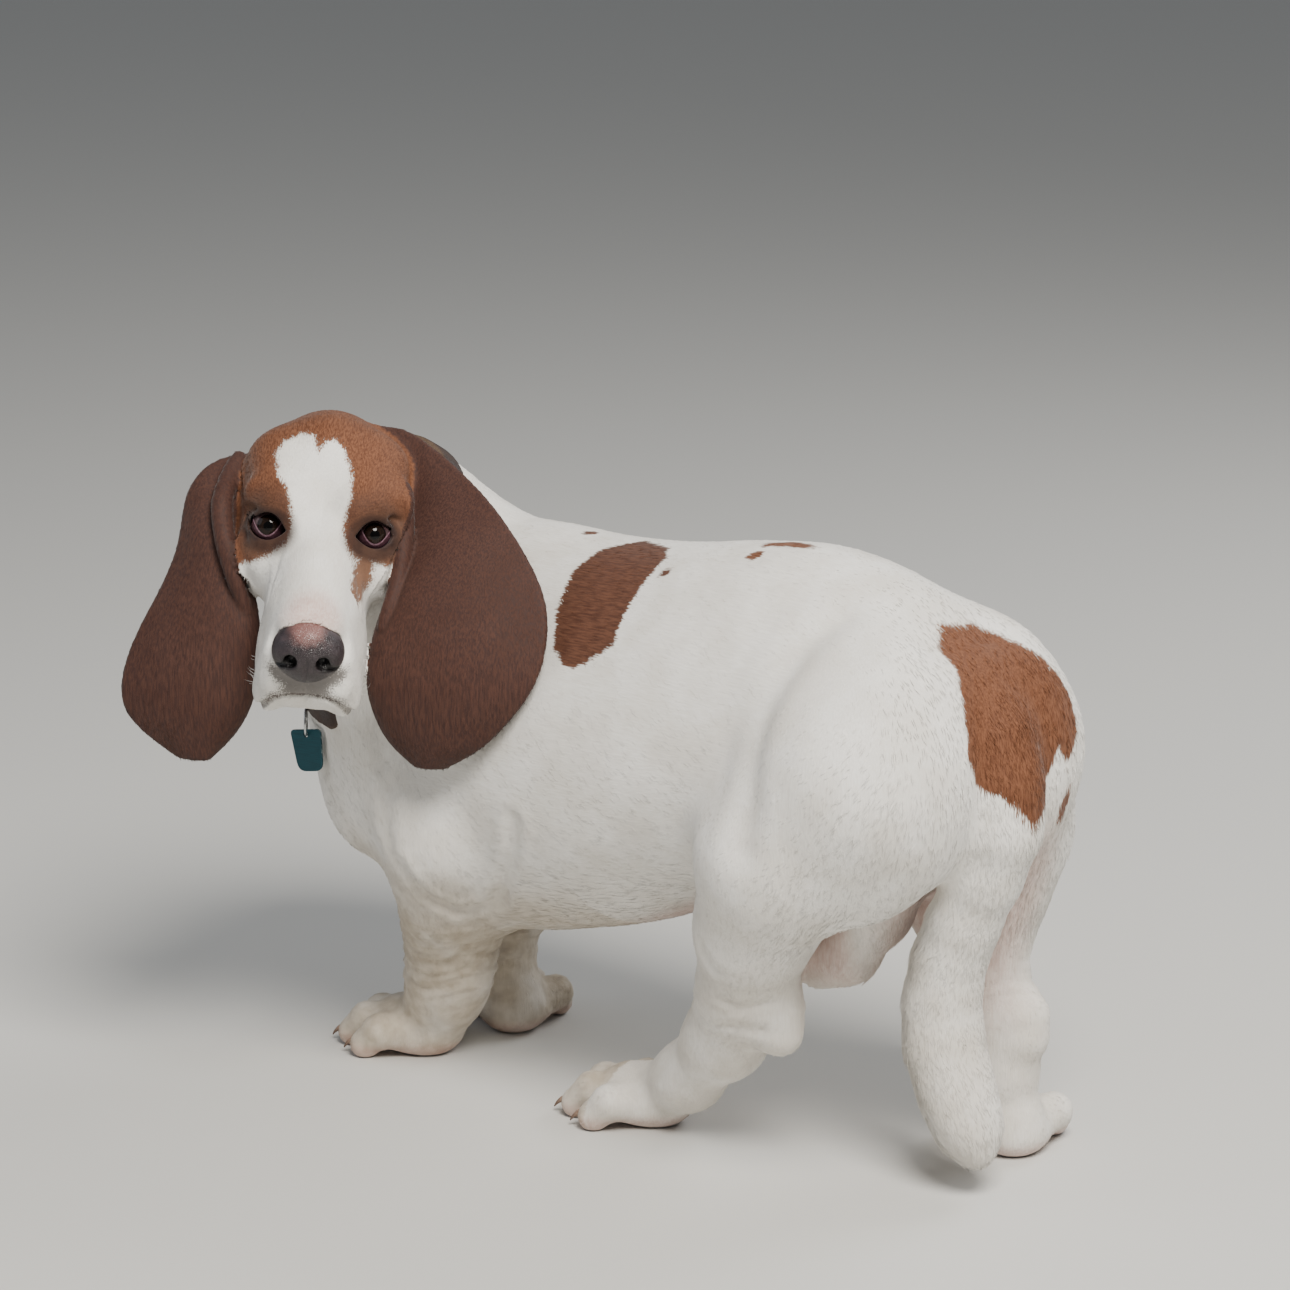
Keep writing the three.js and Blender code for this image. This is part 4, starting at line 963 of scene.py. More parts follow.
def nose_finish():
    """Bare nose leather: dark liver-grey and moist, with a pink patch on its upper edge. Its pebbles are
    0.9 mm wide, and are drawn at 1.1 mm."""
    material, tree, shader = finish_named("nose_leather")
    grain = cells(tree, 1.1, 0.25)
    cloud = speckle(tree, 5)
    colour = mixed(tree, ramp(tree, cloud, 0.35, 0.7), linear("#2D2629"), linear("#3B3236"))
    colour = mixed(tree, ramp(tree, plus(tree, attribute(tree, "pink"), cloud, 0.6), 0.35, 1.25),
                   colour, linear("#875F5A"))
    colour = mixed(tree, grain, mixed(tree, 0.3, colour, linear("#120D0E")), colour)
    # Painted shade: the insides of the nostrils are near black
    colour = mixed(tree, attribute(tree, "hole"), colour, linear("#0B0809"))
    feed(tree, shader, Base__Color=colour, Roughness=ramp(tree, cloud, 0.3, 0.7, 0.28, 0.42),
         Normal=bumps(tree, grain, 0.5, 0.3))
    return material


def horn_finish():
    """Claw horn: brown and paler at the root, with lines that are drawn at 1.2 mm."""
    material, tree, shader = finish_named("claw_horn")
    lines = speckle(tree, 1.2, detail=4)
    colour = mixed(tree, ramp(tree, lines, 0.3, 0.7), linear("#836857"), linear("#A98F7B"))
    colour = mixed(tree, ramp(tree, attribute(tree, "tip"), 0.2, 0.9), colour, linear("#5E483B"))
    feed(tree, shader, Base__Color=colour, Roughness=0.42, Normal=bumps(tree, lines, 0.3, 0.3))
    return material


def strap_finish():
    """Dark oiled leather: close pores at 1.4 mm, a little worn along its edges."""
    material, tree, shader = finish_named("oiled_leather")
    grain = cells(tree, 1.4, 0.3)
    cloud = speckle(tree, 14, detail=4)
    colour = mixed(tree, ramp(tree, cloud, 0.3, 0.7), linear("#2B1E18"), linear("#3E2C22"))
    colour = mixed(tree, times(tree, attribute(tree, "edge"), 0.6), colour, linear("#6A5847"))
    feed(tree, shader, Base__Color=colour, Roughness=ramp(tree, cloud, 0.3, 0.7, 0.5, 0.68),
         Normal=bumps(tree, grain, 0.4, 0.4))
    return material


def steel_finish():
    """Drawn steel wire, satin, with fine scratches 0.4 mm apart."""
    material, tree, shader = finish_named("drawn_steel")
    lines = speckle(tree, 0.4)
    colour = mixed(tree, ramp(tree, lines, 0.3, 0.7), linear("#A9ABAC"), linear("#CFD1D2"))
    feed(tree, shader, Base__Color=colour, Metallic=1.0, Roughness=ramp(tree, lines, 0.3, 0.7, 0.22, 0.38))
    return material


def tag_finish():
    """Teal anodised aluminium, bare, with the dye worn along its rim. It is brushed level, in lines that
    are drawn at 0.5 mm."""
    material, tree, shader = finish_named("anodised_aluminium")
    brushed = speckle(tree, (9, 9, 0.5))
    worn = speckle(tree, 1.4, detail=4)
    colour = mixed(tree, ramp(tree, brushed, 0.3, 0.7), linear("#12414C"), linear("#164C57"))
    rim = times(tree, ramp(tree, attribute(tree, "edge"), 0.7, 1.0), ramp(tree, worn, 0.5, 0.7))
    feed(tree, shader, Base__Color=mixed(tree, rim, colour, linear("#9FB0B2")), Metallic=0.4,
         Roughness=ramp(tree, brushed, 0.3, 0.7, 0.42, 0.5), Normal=bumps(tree, brushed, 0.15, 0.2))
    return material


# Camera: a long lens behind the dog's left side, about 0.9 m above the floor

def add_camera():
    data = bpy.data.cameras.new("camera")
    data.sensor_width = 36
    data.lens = LENS
    data.clip_end = 60
    around, up = math.radians(CAMERA_ROUND), math.radians(CAMERA_UP)
    back = Vector((math.sin(around) * math.cos(up), -math.cos(around) * math.cos(up), math.sin(up)))
    right = Vector((math.cos(around), math.sin(around), 0))
    turn = Matrix((right, back.cross(right), back)).transposed().to_4x4()
    camera = new_object("camera", data)
    camera.matrix_world = Matrix.Translation(placed(CAMERA_AT)) @ turn
    bpy.context.scene.camera = camera


add_camera()

# The skin

points, tris = surface(flesh, np.array([-190, -262, -6.0]), np.array([482, 156, 446.0]), SKIN_STEP)
points, tris = main_shell(points, tris)
points = settled(flesh, points)


def on_both_halves(points, lo, hi):
    """Which points lie in a box on the left half of the head, or on the right half as in a mirror."""
    x, y, z = to_head(*points.T)
    return in_box(x, np.abs(y), z, lo, hi)


FACE_BOX = ((-44, -1, -104), (118, 54, 40))
EYE_BOX = ((-20, 14, -20), (22, 50, 22))
SNOUT_BOX = ((76, -1, -92), (118, 34, -10))
for lo, hi in (FACE_BOX, EYE_BOX, SNOUT_BOX):
    points, tris = refined(points, tris, on_both_halves(points, lo, hi)[tris].any(1))
    close = on_both_halves(points, np.subtract(lo, 4), np.add(hi, 4))
    points[close] = settled(flesh, points[close], 1.2, 0.3)

points[:, 2] = np.maximum(points[:, 2], OFF_FLOOR)
skin = new_object("skin", mesh_from("skin", points, tris))
skin_points = rows_of(skin.data.vertices, "co", 3).astype(float) * 1000 - SHIFT
print("skin", len(points), "points,", len(tris), "triangles")


# Markings: millimetres inside each patch, negative outside

def inside_of(outline, u, v):
    """Signed distance to a closed outline in a plane, positive inside."""
    corners = np.array(outline, float)
    best = np.full(u.shape, 1e9)
    within = np.zeros(u.shape, bool)
    for (ax, ay), (bx, by) in zip(corners, np.roll(corners, -1, 0)):
        ex, ey = bx - ax, by - ay
        t = np.clip(((u - ax) * ex + (v - ay) * ey) / (ex * ex + ey * ey), 0, 1)
        best = np.minimum(best, np.hypot(u - ax - t * ex, v - ay - t * ey))
        crosses = (ay > v) != (by > v)
        at = ax + (v - ay) / (ey if abs(ey) > 1e-9 else 1e-9) * ex
        within ^= crosses & (u < at)
    return np.where(within, best, -best)


# Patches on the back, as outlines in (x, distance round the body from the ridge of the back to the left)
ROUND = 115               # mean radius of the barrel, and the height of its middle
ROUND_Z = 240
SADDLE = [(151, 0), (136, 22), (134, 44), (141, 70), (157, 104), (170, 113), (181, 115), (190, 108),
          (205, 96), (202, 70), (199, 44), (197, 28), (184, 12), (168, 6)]
# The rump, as an outline in (y, z) on the rear
RUMP = [(-6, 347), (20, 343), (34, 334), (47, 325), (57, 314), (64, 302), (66, 286), (60, 272), (50, 262),
        (43, 274), (37, 262), (20, 250), (6, 236), (-3, 244), (-15, 257), (-28, 265), (-35, 282), (-31, 310),
        (-24, 325), (-20, 338)]
# On the right side, where the photo doesn't reach: one patch over the ribs
FAR_SIDE = [(208, -36), (224, -22), (248, -31), (268, -24), (283, -47), (275, -68), (289, -90), (272, -112),
            (246, -102), (228, -117), (207, -99), (213, -77), (197, -58)]
# Small round spots of the body, russet and then dark: (middle, radius)
SPOTS = [((210, -43, 354), 4), ((266, -24, 371), 5.5), ((262, -8, 373), 4), ((103, 0, 355), 4.5),
         ((60, 70, 330), 6), ((318, 74, 340), 5)]
DARK_SPOTS = [((8, 44, 86), 6.5), ((-16, 60, 60), 4), ((-44, 52, 24), 3.6)]
# The blaze seen from above the head, as (along, across): two lobes with a notch at the top
BLAZE = [(-39, -27), (-42, -17), (-39, -9), (-27, -6), (-34, -1), (-35, 4), (-31, 9), (-24, 12), (-13, 15),
         (2, 17), (10, 14), (14, 13), (22, 15), (30, 22), (44, 60), (130, 80), (130, -80), (44, -60),
         (30, -30), (22, -20), (14, -18), (11, -18), (5, -21), (-10, -28), (-28, -31)]
# The lower edge of the head's brown on each cheek, as (across, height)
LEFT_CHEEK = [(13, 8), (15, 3), (22, -7), (33, -12), (40, -14), (52, -22)]
RIGHT_CHEEK = [(18, 8), (19, 0), (30, -10), (41, -20), (52, -27)]
UNMARKED = -30            # far outside every patch
NOT_DARK = -20


def gap_to(p, centre, squash=(1, 1, 1)):
    """How far points are from a centre; squash below 1 draws the round out along that axis."""
    return np.linalg.norm((p - centre) * squash, axis=1)


def height_along(line, across):
    return np.interp(across, *zip(*line))


def markings(p):
    """The coat's colours at points of the dog: a dict of one array for each attribute."""
    x, y, z = p.T
    q = to_head(x, y, z)
    hx, hy, hz = q
    side = np.abs(hy)
    rise = eye_rise(hx, hz)
    half_head = np.stack([hx, side, hz], 1)
    hang = ears(x, y, z)[0]
    head_gap = near_head(x, y, z)
    trunk_gap = rear_flesh(x, y, z)
    is_ear = hang < np.minimum(head_gap, trunk_gap) - 0.5
    at_head = head_gap < trunk_gap + 6
    on_face = at_head & ~is_ear
    on_barrel = (x > 60) & (x < 340)

    # The brown of the head lies outside the blaze and above a line over each cheek
    cheek = np.where(hy > 0, height_along(LEFT_CHEEK, side), height_along(RIGHT_CHEEK, side))
    mask = np.minimum.reduce([-inside_of(BLAZE, hx, hy), (hz - cheek) * 0.8, hx + 118])
    streak = 5 * (1 - np.hypot((hy - 27.5) / 6.5, (hz + 15) / 10.5))
    streak = np.where((hx > 5) & (hx < 50), streak, UNMARKED)
    round_back = ROUND * np.arctan2(-y, z - ROUND_Z)
    ridge = 7 - np.hypot((x - 276) / 2.6, (y + 4) * 1.1)
    rust = np.maximum.reduce([
        np.where(on_barrel, inside_of(SADDLE, x, round_back), UNMARKED),
        np.where(on_barrel, inside_of(FAR_SIDE, x, round_back), UNMARKED),
        np.where(z > 340, ridge, UNMARKED),
        np.where((x > 384) & (z > 225), inside_of(RUMP, y, z), UNMARKED),
        5 - np.hypot(y - 57, (z - 236) / 2.2) - 20 * (x < 400),
        *[r - gap_to(p, centre) for centre, r in SPOTS],
        np.where(at_head, np.maximum(mask, streak), UNMARKED)])
    rust = np.where(is_ear, 14, rust)
    # Painted shade: the back patch in front of x = 214 is darkened towards the ears' mahogany
    saddle_painted_shade = np.where(x < 214, 0.55, 0.0) * (rust > -3) * ~at_head
    ear = np.maximum(np.where(is_ear, 1.0, 0.0), saddle_painted_shade)
    tan = np.maximum(np.where(on_face, smooth(26, 8, gap_to(half_head, (0, 32, 0))), 0.0),
                     np.where(at_head & (streak > -4), 0.9, 0.0))

    rims = 1.0 - np.maximum(lids(*q), 0)
    lips = 0.9 - np.maximum(mouth_cut(*q), 0) + np.where(hx > 20, 0, NOT_DARK)
    pads = 0.5 - z
    dark = np.maximum.reduce([
        np.full(x.shape, float(NOT_DARK)),
        *[r - gap_to(p, centre) for centre, r in DARK_SPOTS],
        np.where(on_face, np.maximum(rims, lips), NOT_DARK),
        np.where(z < 8, pads, NOT_DARK)])

    # Soft dark surrounds of the eyes, with the tear marks at their inner corners
    around = np.hypot((side - 32.5) / 15.5, (rise + 2.5) / 13.5)
    tears = np.hypot((side - 20) / 6, (rise + 5) / 8)
    wide_around = np.hypot((side - 30) / 15, (rise - 2) / 12)
    smudge_and_fold_shade = np.maximum.reduce([smooth(1.45, 0.85, around), 0.85 * smooth(1.2, 0.4, tears),
                                0.6 * smooth(2.5, 1.1, wide_around) * smooth(-3, 3, rust)])
    smudge_and_fold_shade = np.where(on_face & (hx > -14), smudge_and_fold_shade, 0.0)
    # Painted shade in the folds on both sides of each ear's rolled edge, added to the eyes' dark overlay
    beside = hems(x, y, z)
    smudge_and_fold_shade = np.maximum(smudge_and_fold_shade, 0.65 * smooth(4, 1, beside) * smooth(0.3, 0.9, beside) * smooth(390, 372, z))

    # Grey ticking under the nose and along the lips
    over_lip = hz - height_along([spot[1:3] for spot in MOUTH], side)
    grey = smooth(15, 3, nose_body(*q)) * smooth(-37, -52, hz) + 0.6 * smooth(9, 2, mouth_cut(*q)) * (hx > 60)
    grey *= smooth(-1.5, 0.5, over_lip) * smooth(33, 20, side)
    grey = np.where(at_head & (hx > 55), np.clip(grey, 0, 1), 0.0)

    # Skin that shows pink through thin hair, and the yellowish lower legs, whose darkening also holds painted
    # shade under the body
    belly = (smooth(215, 160, z) * smooth(100, 135, z) * smooth(140, 200, x) * smooth(346, 330, x)
             * smooth(50, 16, np.abs(y)))
    groin = smooth(66, 30, gap_to(p, (384, 34, 170), (0.8, 1, 0.55))) * smooth(1, 7, tail(x, y, z))
    bridge = smooth(26, 6, gap_to(np.stack(q, 1), (92, 2, -10), (0.9, 0.8, 1)))
    feet = smooth(14, 4, z)
    pink = np.clip(0.6 * belly + 0.6 * groin + np.where(at_head, 0.65 * bridge, 0) + 0.5 * feet, 0, 1)
    # Dirt and painted shade: darker towards the floor, heaviest on the forelegs and less on the hind legs
    dirt_and_shade = np.clip(smooth(180, 70, z) + 0.25 * smooth(230, 120, z), 0, 1) * np.where(x > 170, 0.3, 1.0)
    return dict(rust=rust, ear=ear, dark=dark, pink=pink, dirt_and_shade=dirt_and_shade, tan=tan, smudge_and_fold_shade=smudge_and_fold_shade, grey=grey)


def level_with(d, normals):
    """Directions laid flat on the skin, of length 1."""
    d = d - normals * (d * normals).sum(1)[:, None]
    return d / np.maximum(np.linalg.norm(d, axis=1), 1e-6)[:, None]


def chain_lie(points, p):
    """At each place, the direction of the nearest length of a chain."""
    spots = np.array([spot[:3] for spot in points], float)
    best = np.full(len(p), 1e9)
    lie = np.zeros(p.shape)
    for a, b in zip(spots, spots[1:]):
        t = np.clip((p - a) @ (b - a) / ((b - a) @ (b - a)), 0, 1)
        gap = np.linalg.norm(p - a - t[:, None] * (b - a), axis=1)
        better = gap < best
        best = np.where(better, gap, best)
        lie[better] = (b - a) / np.linalg.norm(b - a)
    return lie


def hair_lie(p, normals):
    """The direction in which the hair lies, and the share of each part of the dog in it."""
    x, y, z = p.T
    hy = to_head(x, y, z)[1]
    gaps = {"barrel": blend(20, trunk, fore_chest)(x, y, z), "neck": neck(x, y, z),
            "head": near_head(x, y, z), "tail": tail(x, y, z),
            "thighs": np.minimum(haunches(x, y, z), 40),
            **{name: form(x, y, z) for name, form in leg_forms.items()}, "ears": ears(x, y, z)[0] - 4}
    near_to = np.array(list(gaps.values()))
    share = np.exp(-(near_to - near_to.min(0)) / 7)
    share /= share.sum(0)
    ones = np.ones(x.shape)
    sag = np.abs(normals[:, 1])
    back = head_spin @ np.stack([-ones, 0.3 * np.sign(hy), -0.25 * ones])
    lies = [np.stack([ones, 0 * x, -0.55 * sag], 1), ones[:, None] * (0.45, 0.25, -0.85), back.T,
            chain_lie(TAIL, p), ones[:, None] * (0.5, 0, -0.9),
            *[chain_lie(leg["bones"], p) for leg in LEGS.values()], ones[:, None] * (0.1, 0, -1)]
    lie = sum(part[:, None] * direction for part, direction in zip(share, lies))
    return level_with(lie, normals), dict(zip(gaps, share))


normals = rows_of(skin.data.vertices, "normal", 3).astype(float)
colours = markings(skin_points)
lie, share = hair_lie(skin_points, normals)
colours["flow_x"] = share["barrel"]
colours["flow_head"] = share["head"]
for name, values in colours.items():
    give(skin.data, name, values)
give(skin.data, "tip", np.zeros(len(skin_points)))

# The skin's unwrap
bpy.context.view_layer.objects.active = skin
skin.select_set(True)
bpy.ops.object.mode_set(mode="EDIT")
bpy.ops.mesh.select_all(action="SELECT")
bpy.ops.uv.smart_project(angle_limit=math.radians(72), island_margin=0.001)
bpy.ops.object.mode_set(mode="OBJECT")
skin.data.uv_layers[0].name = "OFBake"

coat = coat_finish()
skin.data.materials.append(coat)


# Tufts: flat three-sided locks, each with three corners at its root, three at its middle and one at its tip

LOCK_FACES = np.array([(0, 2, 1), (0, 1, 4), (0, 4, 3), (1, 2, 5), (1, 5, 4), (2, 0, 3), (2, 3, 5),
                       (3, 4, 6), (4, 5, 6), (5, 3, 6)])
LOCK_ALONG = [0, 0, 0, 0.5, 0.5, 0.5, 1]
LOCK_UV = np.array([(0, 0), (1, 0), (0.5, 0.1), (0.1, 0.5), (0.9, 0.5), (0.5, 0.55), (0.5, 1)])
LOCK_PATCH = 0.003        # width of a lock in the unwrap
ROOT_SINK = 0.5           # the roots lie this far under the skin
LOCK_OFF_FLOOR = 0.4
OWN_SHADE = 0.3           # the rest of a lock's shading is the skin's, so it shows no dark dashes

skin_tris = rows_of(skin.data.polygons, "vertices", 3, np.int32)
skin_uv = rows_of(skin.data.uv_layers["OFBake"].data, "uv", 2).reshape(-1, 3, 2)


def tuft_mesh(name, chosen_faces, per_mm2, length, wide, lift, limit):
    """Tufts over some faces of the skin. per_mm2, length, wide and lift are numbers for each skin point."""
    tri = skin_tris[chosen_faces]
    a, b, c = (skin_points[tri[:, i]] for i in range(3))
    area = np.linalg.norm(np.cross(b - a, c - a), axis=1) / 2
    chance = area * per_mm2[tri].mean(1)
    total = int(min(chance.sum(), limit))
    pick = np.sort(rng.choice(len(tri), total, p=chance / chance.sum()))
    bary = rng.dirichlet((1, 1, 1), total)

    def at(values):
        spots = values[tri[pick]]
        return (spots * (bary[:, :, None] if spots.ndim == 3 else bary)).sum(1)

    root, normal = at(skin_points), at(normals)
    normal /= np.linalg.norm(normal, axis=1)[:, None]
    along = level_with(at(lie) + rng.normal(0, 0.16, (total, 3)), normal)
    across = np.cross(normal, along)
    size = (at(length) * rng.uniform(0.7, 1.25, total))[:, None]
    half = (at(wide) * rng.uniform(0.8, 1.2, total))[:, None] / 2
    rise = (at(lift) * rng.uniform(0.6, 1.3, total))[:, None]
    sway = rng.normal(0, 0.12, total)[:, None] * size
    low = root - normal * ROOT_SINK
    mid = root + along * size * 0.5 + normal * rise * 0.75 + across * sway * 0.4
    end = root + along * size + normal * rise + across * sway
    corners = np.stack([low - across * half, low + across * half, low + normal * 0.6 - along * 0.3,
                        mid - across * half * 0.8, mid + across * half * 0.8, mid + normal * half * 0.5,
                        end], 1)
    corners[..., 2] = np.maximum(corners[..., 2], LOCK_OFF_FLOOR)
    each = len(LOCK_ALONG)
    faces = (LOCK_FACES[None] + each * np.arange(total)[:, None, None]).reshape(-1, 3)
    mesh = mesh_from(name, corners.reshape(-1, 3), faces)
    own = rows_of(mesh.vertices, "normal", 3)
    lit = own * OWN_SHADE + np.repeat(normal, each, 0) * (1 - OWN_SHADE)
    mesh.normals_split_custom_set_from_vertices((lit / np.linalg.norm(lit, axis=1)[:, None]).tolist())
    for mark, values in colours.items():
        give(mesh, mark, np.repeat(at(values), each))
    give(mesh, "tip", np.tile(LOCK_ALONG, total))
    root_uv = (skin_uv[chosen_faces][pick] * bary[:, :, None]).sum(1)
    spots = (root_uv[:, None] + LOCK_PATCH * (LOCK_UV - 0.5)).reshape(-1, 2)
    layer = mesh.uv_layers.new(name="OFBake")
    layer.data.foreach_set("uv", spots[faces.ravel()].astype(np.float32).ravel())
    mesh.materials.append(coat)
    return new_object(name, mesh)


x, y, z = skin_points.T
hx, hy, hz = to_head(x, y, z)
half_head = np.stack([hx, np.abs(hy), hz], 1)
leg_share = sum(share[name] for name in LEGS)
# No tufts on the soles, in the eyes' openings, on the nose and in the line of the mouth
bare = (z < 5) | ((np.abs(hx - 4) < 12) & (np.abs(np.abs(hy) - 32) < 14) & (np.abs(eye_rise(hx, hz)) < 11))
bare |= nose_body(hx, hy, hz) < np.where(hz > -34, 7, 3)
bare |= mouth_cut(hx, hy, hz) < 1.2
# The hair is roughest under the tail, at the back of the thighs and on the keel of the chest
fringe = smooth(0.2, 0.8, -normals[:, 0]) * share["tail"]
thigh_back = smooth(0.1, 0.7, normals[:, 0]) * smooth(330, 360, x) * smooth(120, 150, z) * (1 - share["tail"])
keel = smooth(0.2, 0.8, -normals[:, 2]) * smooth(60, 90, z) * smooth(210, 160, z)

# Each piece of the coat, in the order of the regions: a lock's length, width and lift in mm, and the most
# locks that it may have
COATS = {"coat_ears": (2.6, 0.5, 0.06, 16000), "coat_tail": (6.5, 0.65, 0.35, 9000),
         "coat_head": (2.4, 0.45, 0.1, 16000), "coat_legs": (3.4, 0.55, 0.14, 15000),
         "coat_body": (4.6, 0.65, 0.14, 19000)}
WHISKER = (15.0, 0.2, 4.0)          # length, width and lift
WHISKERS = 18
EARS_REGION, TAIL_REGION, HEAD_REGION, LEGS_REGION, BODY_REGION = range(5)
region = np.select([share["ears"] > 0.5, share["tail"] > 0.5, share["head"] > 0.5,
                    (leg_share > 0.5) & (z < 160)],
                   [EARS_REGION, TAIL_REGION, HEAD_REGION, LEGS_REGION], BODY_REGION)
face_region = np.median(region[skin_tris], axis=1).astype(int)
density = np.where(bare, 0.0, 1.0) * (1 + 1.5 * fringe + 1.5 * thigh_back + keel)
coats = {}
for number, (name, (length, wide, lift, limit)) in enumerate(COATS.items()):
    length = length + 5 * fringe + 2.5 * thigh_back + 1.5 * keel
    if number == HEAD_REGION:
        length = length * np.interp(hx, [-60, 0, 60], [1.5, 1.0, 0.8])
    lift = lift + 1.1 * fringe + 0.5 * thigh_back + 0.25 * keel
    coats[name] = tuft_mesh(name, face_region == number, density, length, np.full(len(x), wide), lift, limit)
cushions = smooth(14, 8, gap_to(half_head, (66, 27, -62)))
whiskered = (cushions[skin_tris].min(1) > 0.1) & (face_region == HEAD_REGION)
coats["coat_whiskers"] = tuft_mesh("coat_whiskers", whiskered, cushions,
                                   *[np.full(len(x), size) for size in WHISKER], WHISKERS)
print("tufts", {name: len(thing.data.polygons) for name, thing in coats.items()})

# Eyes: a ball with a bulging cornea; each looks at the camera, so the iris stands high under its lid

gaze = np.array(to_head(*CAMERA_AT))
gaze /= np.linalg.norm(gaze)
eyes = []
eye_material = eye_finish()
for side, mirror in (("left", 1), ("right", -1)):
    centre = np.array(EYE_AT) * (1, mirror, 1)
    look = gaze + np.array([0, 0.1 * mirror, -0.05])     # a little outward and down
    look /= np.linalg.norm(look)
    shape = bmesh.new()
    bmesh.ops.create_uvsphere(shape, u_segments=64, v_segments=44, radius=1)
    ball = np.array([v.co[:] for v in shape.verts])
    faces = [[v.index for v in f.verts] for f in shape.faces]
    shape.free()
    away = np.arccos(np.clip(ball @ look, -1, 1)) * EYE_R
    bulge = CORNEA_RISE * np.clip(1 - (away / CORNEA_R) ** 2, 0, 1) ** 0.8
    local = centre + ball * (EYE_R - 0.1 + bulge)[:, None]
    height = ball @ np.array([-SIGHT_Z, 0, SIGHT_X])
    across = ball[:, 1] * mirror - 0.14
    low = EYE_R * (-0.52 + 0.7 * (across / 0.72) ** 2 - height)
    mesh = bpy.data.meshes.new("eyeball_" + side)
    mesh.from_pydata(placed(local @ head_spin.T + HEAD_AT).tolist(), [], faces)
    mesh.polygons.foreach_set("use_smooth", [True] * len(faces))
    give(mesh, "away", away)
    give(mesh, "low", low)
    mesh.materials.append(eye_material)
    eyes.append(new_object("eyeball_" + side, mesh))

# Nose: broad leather with comma nostrils and a groove down its middle

nostrils = mirrored(blend(2, egg((108.5, 9.5, -35.7), (7.5, 4.0, 4.4)),
                          limb((107, 11, -38), (98, 20.5, -42), 2.2, 1.1)))
groove = limb((112, 0, -30), (106, 0, -53), 0.4, 0.9)
leather = carve(1.6, carve(1.2, nose_body, nostrils), groove)


def nose_form(x, y, z):
    return leather(*to_head(x, y, z))


middle = np.array(on_head(94, 0, -34))
points, tris = surface(nose_form, middle - 34, middle + 34, 0.8)
points = settled(nose_form, points, 0.4, 0.15)
nose = new_object("nose_leather", mesh_from("nose_leather", points, tris))
nx, ny, nz = to_head(*points.T)
give(nose.data, "pink", smooth(-30, -16, nz) * smooth(17, 3, np.abs(ny + 1)))
give(nose.data, "hole", smooth(2.0, 0.3, nostrils(nx, ny, nz)) * smooth(110, 106, nx))
nose.data.materials.append(nose_finish())

# Claws: one horn curve, set at each toe by Geometry Nodes

def socket_id(tree, name):
    return next(s.identifier for s in tree.interface.items_tree if s.name == name and s.in_out == "INPUT")


def claws_tree(material):
    tree = bpy.data.node_groups.new("claws", "GeometryNodeTree")
    tree.interface.new_socket("Toes", in_out="INPUT", socket_type="NodeSocketGeometry")
    for name, size in (("Length", CLAW_LENGTH), ("Root radius", CLAW_R)):
        socket = tree.interface.new_socket(name, in_out="INPUT", socket_type="NodeSocketFloat")
        socket.default_value = size / 1000
    tree.interface.new_socket("Geometry", in_out="OUTPUT", socket_type="NodeSocketGeometry")
    given, out = node(tree, "NodeGroupInput"), node(tree, "NodeGroupOutput")
    line = node(tree, "GeometryNodeCurvePrimitiveBezierSegment", None, Resolution=12)
    length = given.outputs["Length"]
    ends = {"Start": (0, 0, 0), "Start Handle": (0.4, 0, -0.02), "End Handle": (0.8, 0, -0.22),
            "End": (1, 0, -0.48)}
    for name, spot in ends.items():
        scaled = node(tree, "ShaderNodeVectorMath", {"operation": "SCALE"}, i0=spot, Scale=length)
        tree.links.new(scaled.outputs[0], line.inputs[name])
    share = node(tree, "GeometryNodeSplineParameter").outputs["Factor"]
    taper = node(tree, "ShaderNodeMapRange", {"interpolation_type": "SMOOTHERSTEP"}, Value=share,
                 From__Min=-0.4, From__Max=1.05, To__Min=1.0, To__Max=0.12).outputs[0]
    kept = node(tree, "GeometryNodeStoreNamedAttribute", {"data_type": "FLOAT", "domain": "POINT"},
                Geometry=line.outputs[0], Name="tip")
    tree.links.new(share, next(s for s in kept.inputs if s.name == "Value" and s.enabled))
    ring = node(tree, "GeometryNodeCurvePrimitiveCircle", None, Resolution=16,
                Radius=given.outputs["Root radius"])
    horn = node(tree, "GeometryNodeCurveToMesh", None, Curve=kept.outputs[0], Profile__Curve=ring.outputs[0],
                Scale=taper, Fill__Caps=True)
    turn = node(tree, "GeometryNodeInputNamedAttribute", {"data_type": "FLOAT_VECTOR"}, Name="toe_turn")
    turned_to = node(tree, "FunctionNodeEulerToRotation", None, Euler=turn.outputs[0])
    spread = node(tree, "GeometryNodeInstanceOnPoints", None, Points=given.outputs["Toes"],
                  Instance=horn.outputs[0], Rotation=turned_to.outputs[0])
    real = node(tree, "GeometryNodeRealizeInstances", None, Geometry=spread.outputs[0])
    shade = node(tree, "GeometryNodeSetShadeSmooth", None, Geometry=real.outputs[0])
    done = node(tree, "GeometryNodeSetMaterial", None, Geometry=shade.outputs[0], Material=material)
    tree.links.new(done.outputs[0], out.inputs[0])
    return tree


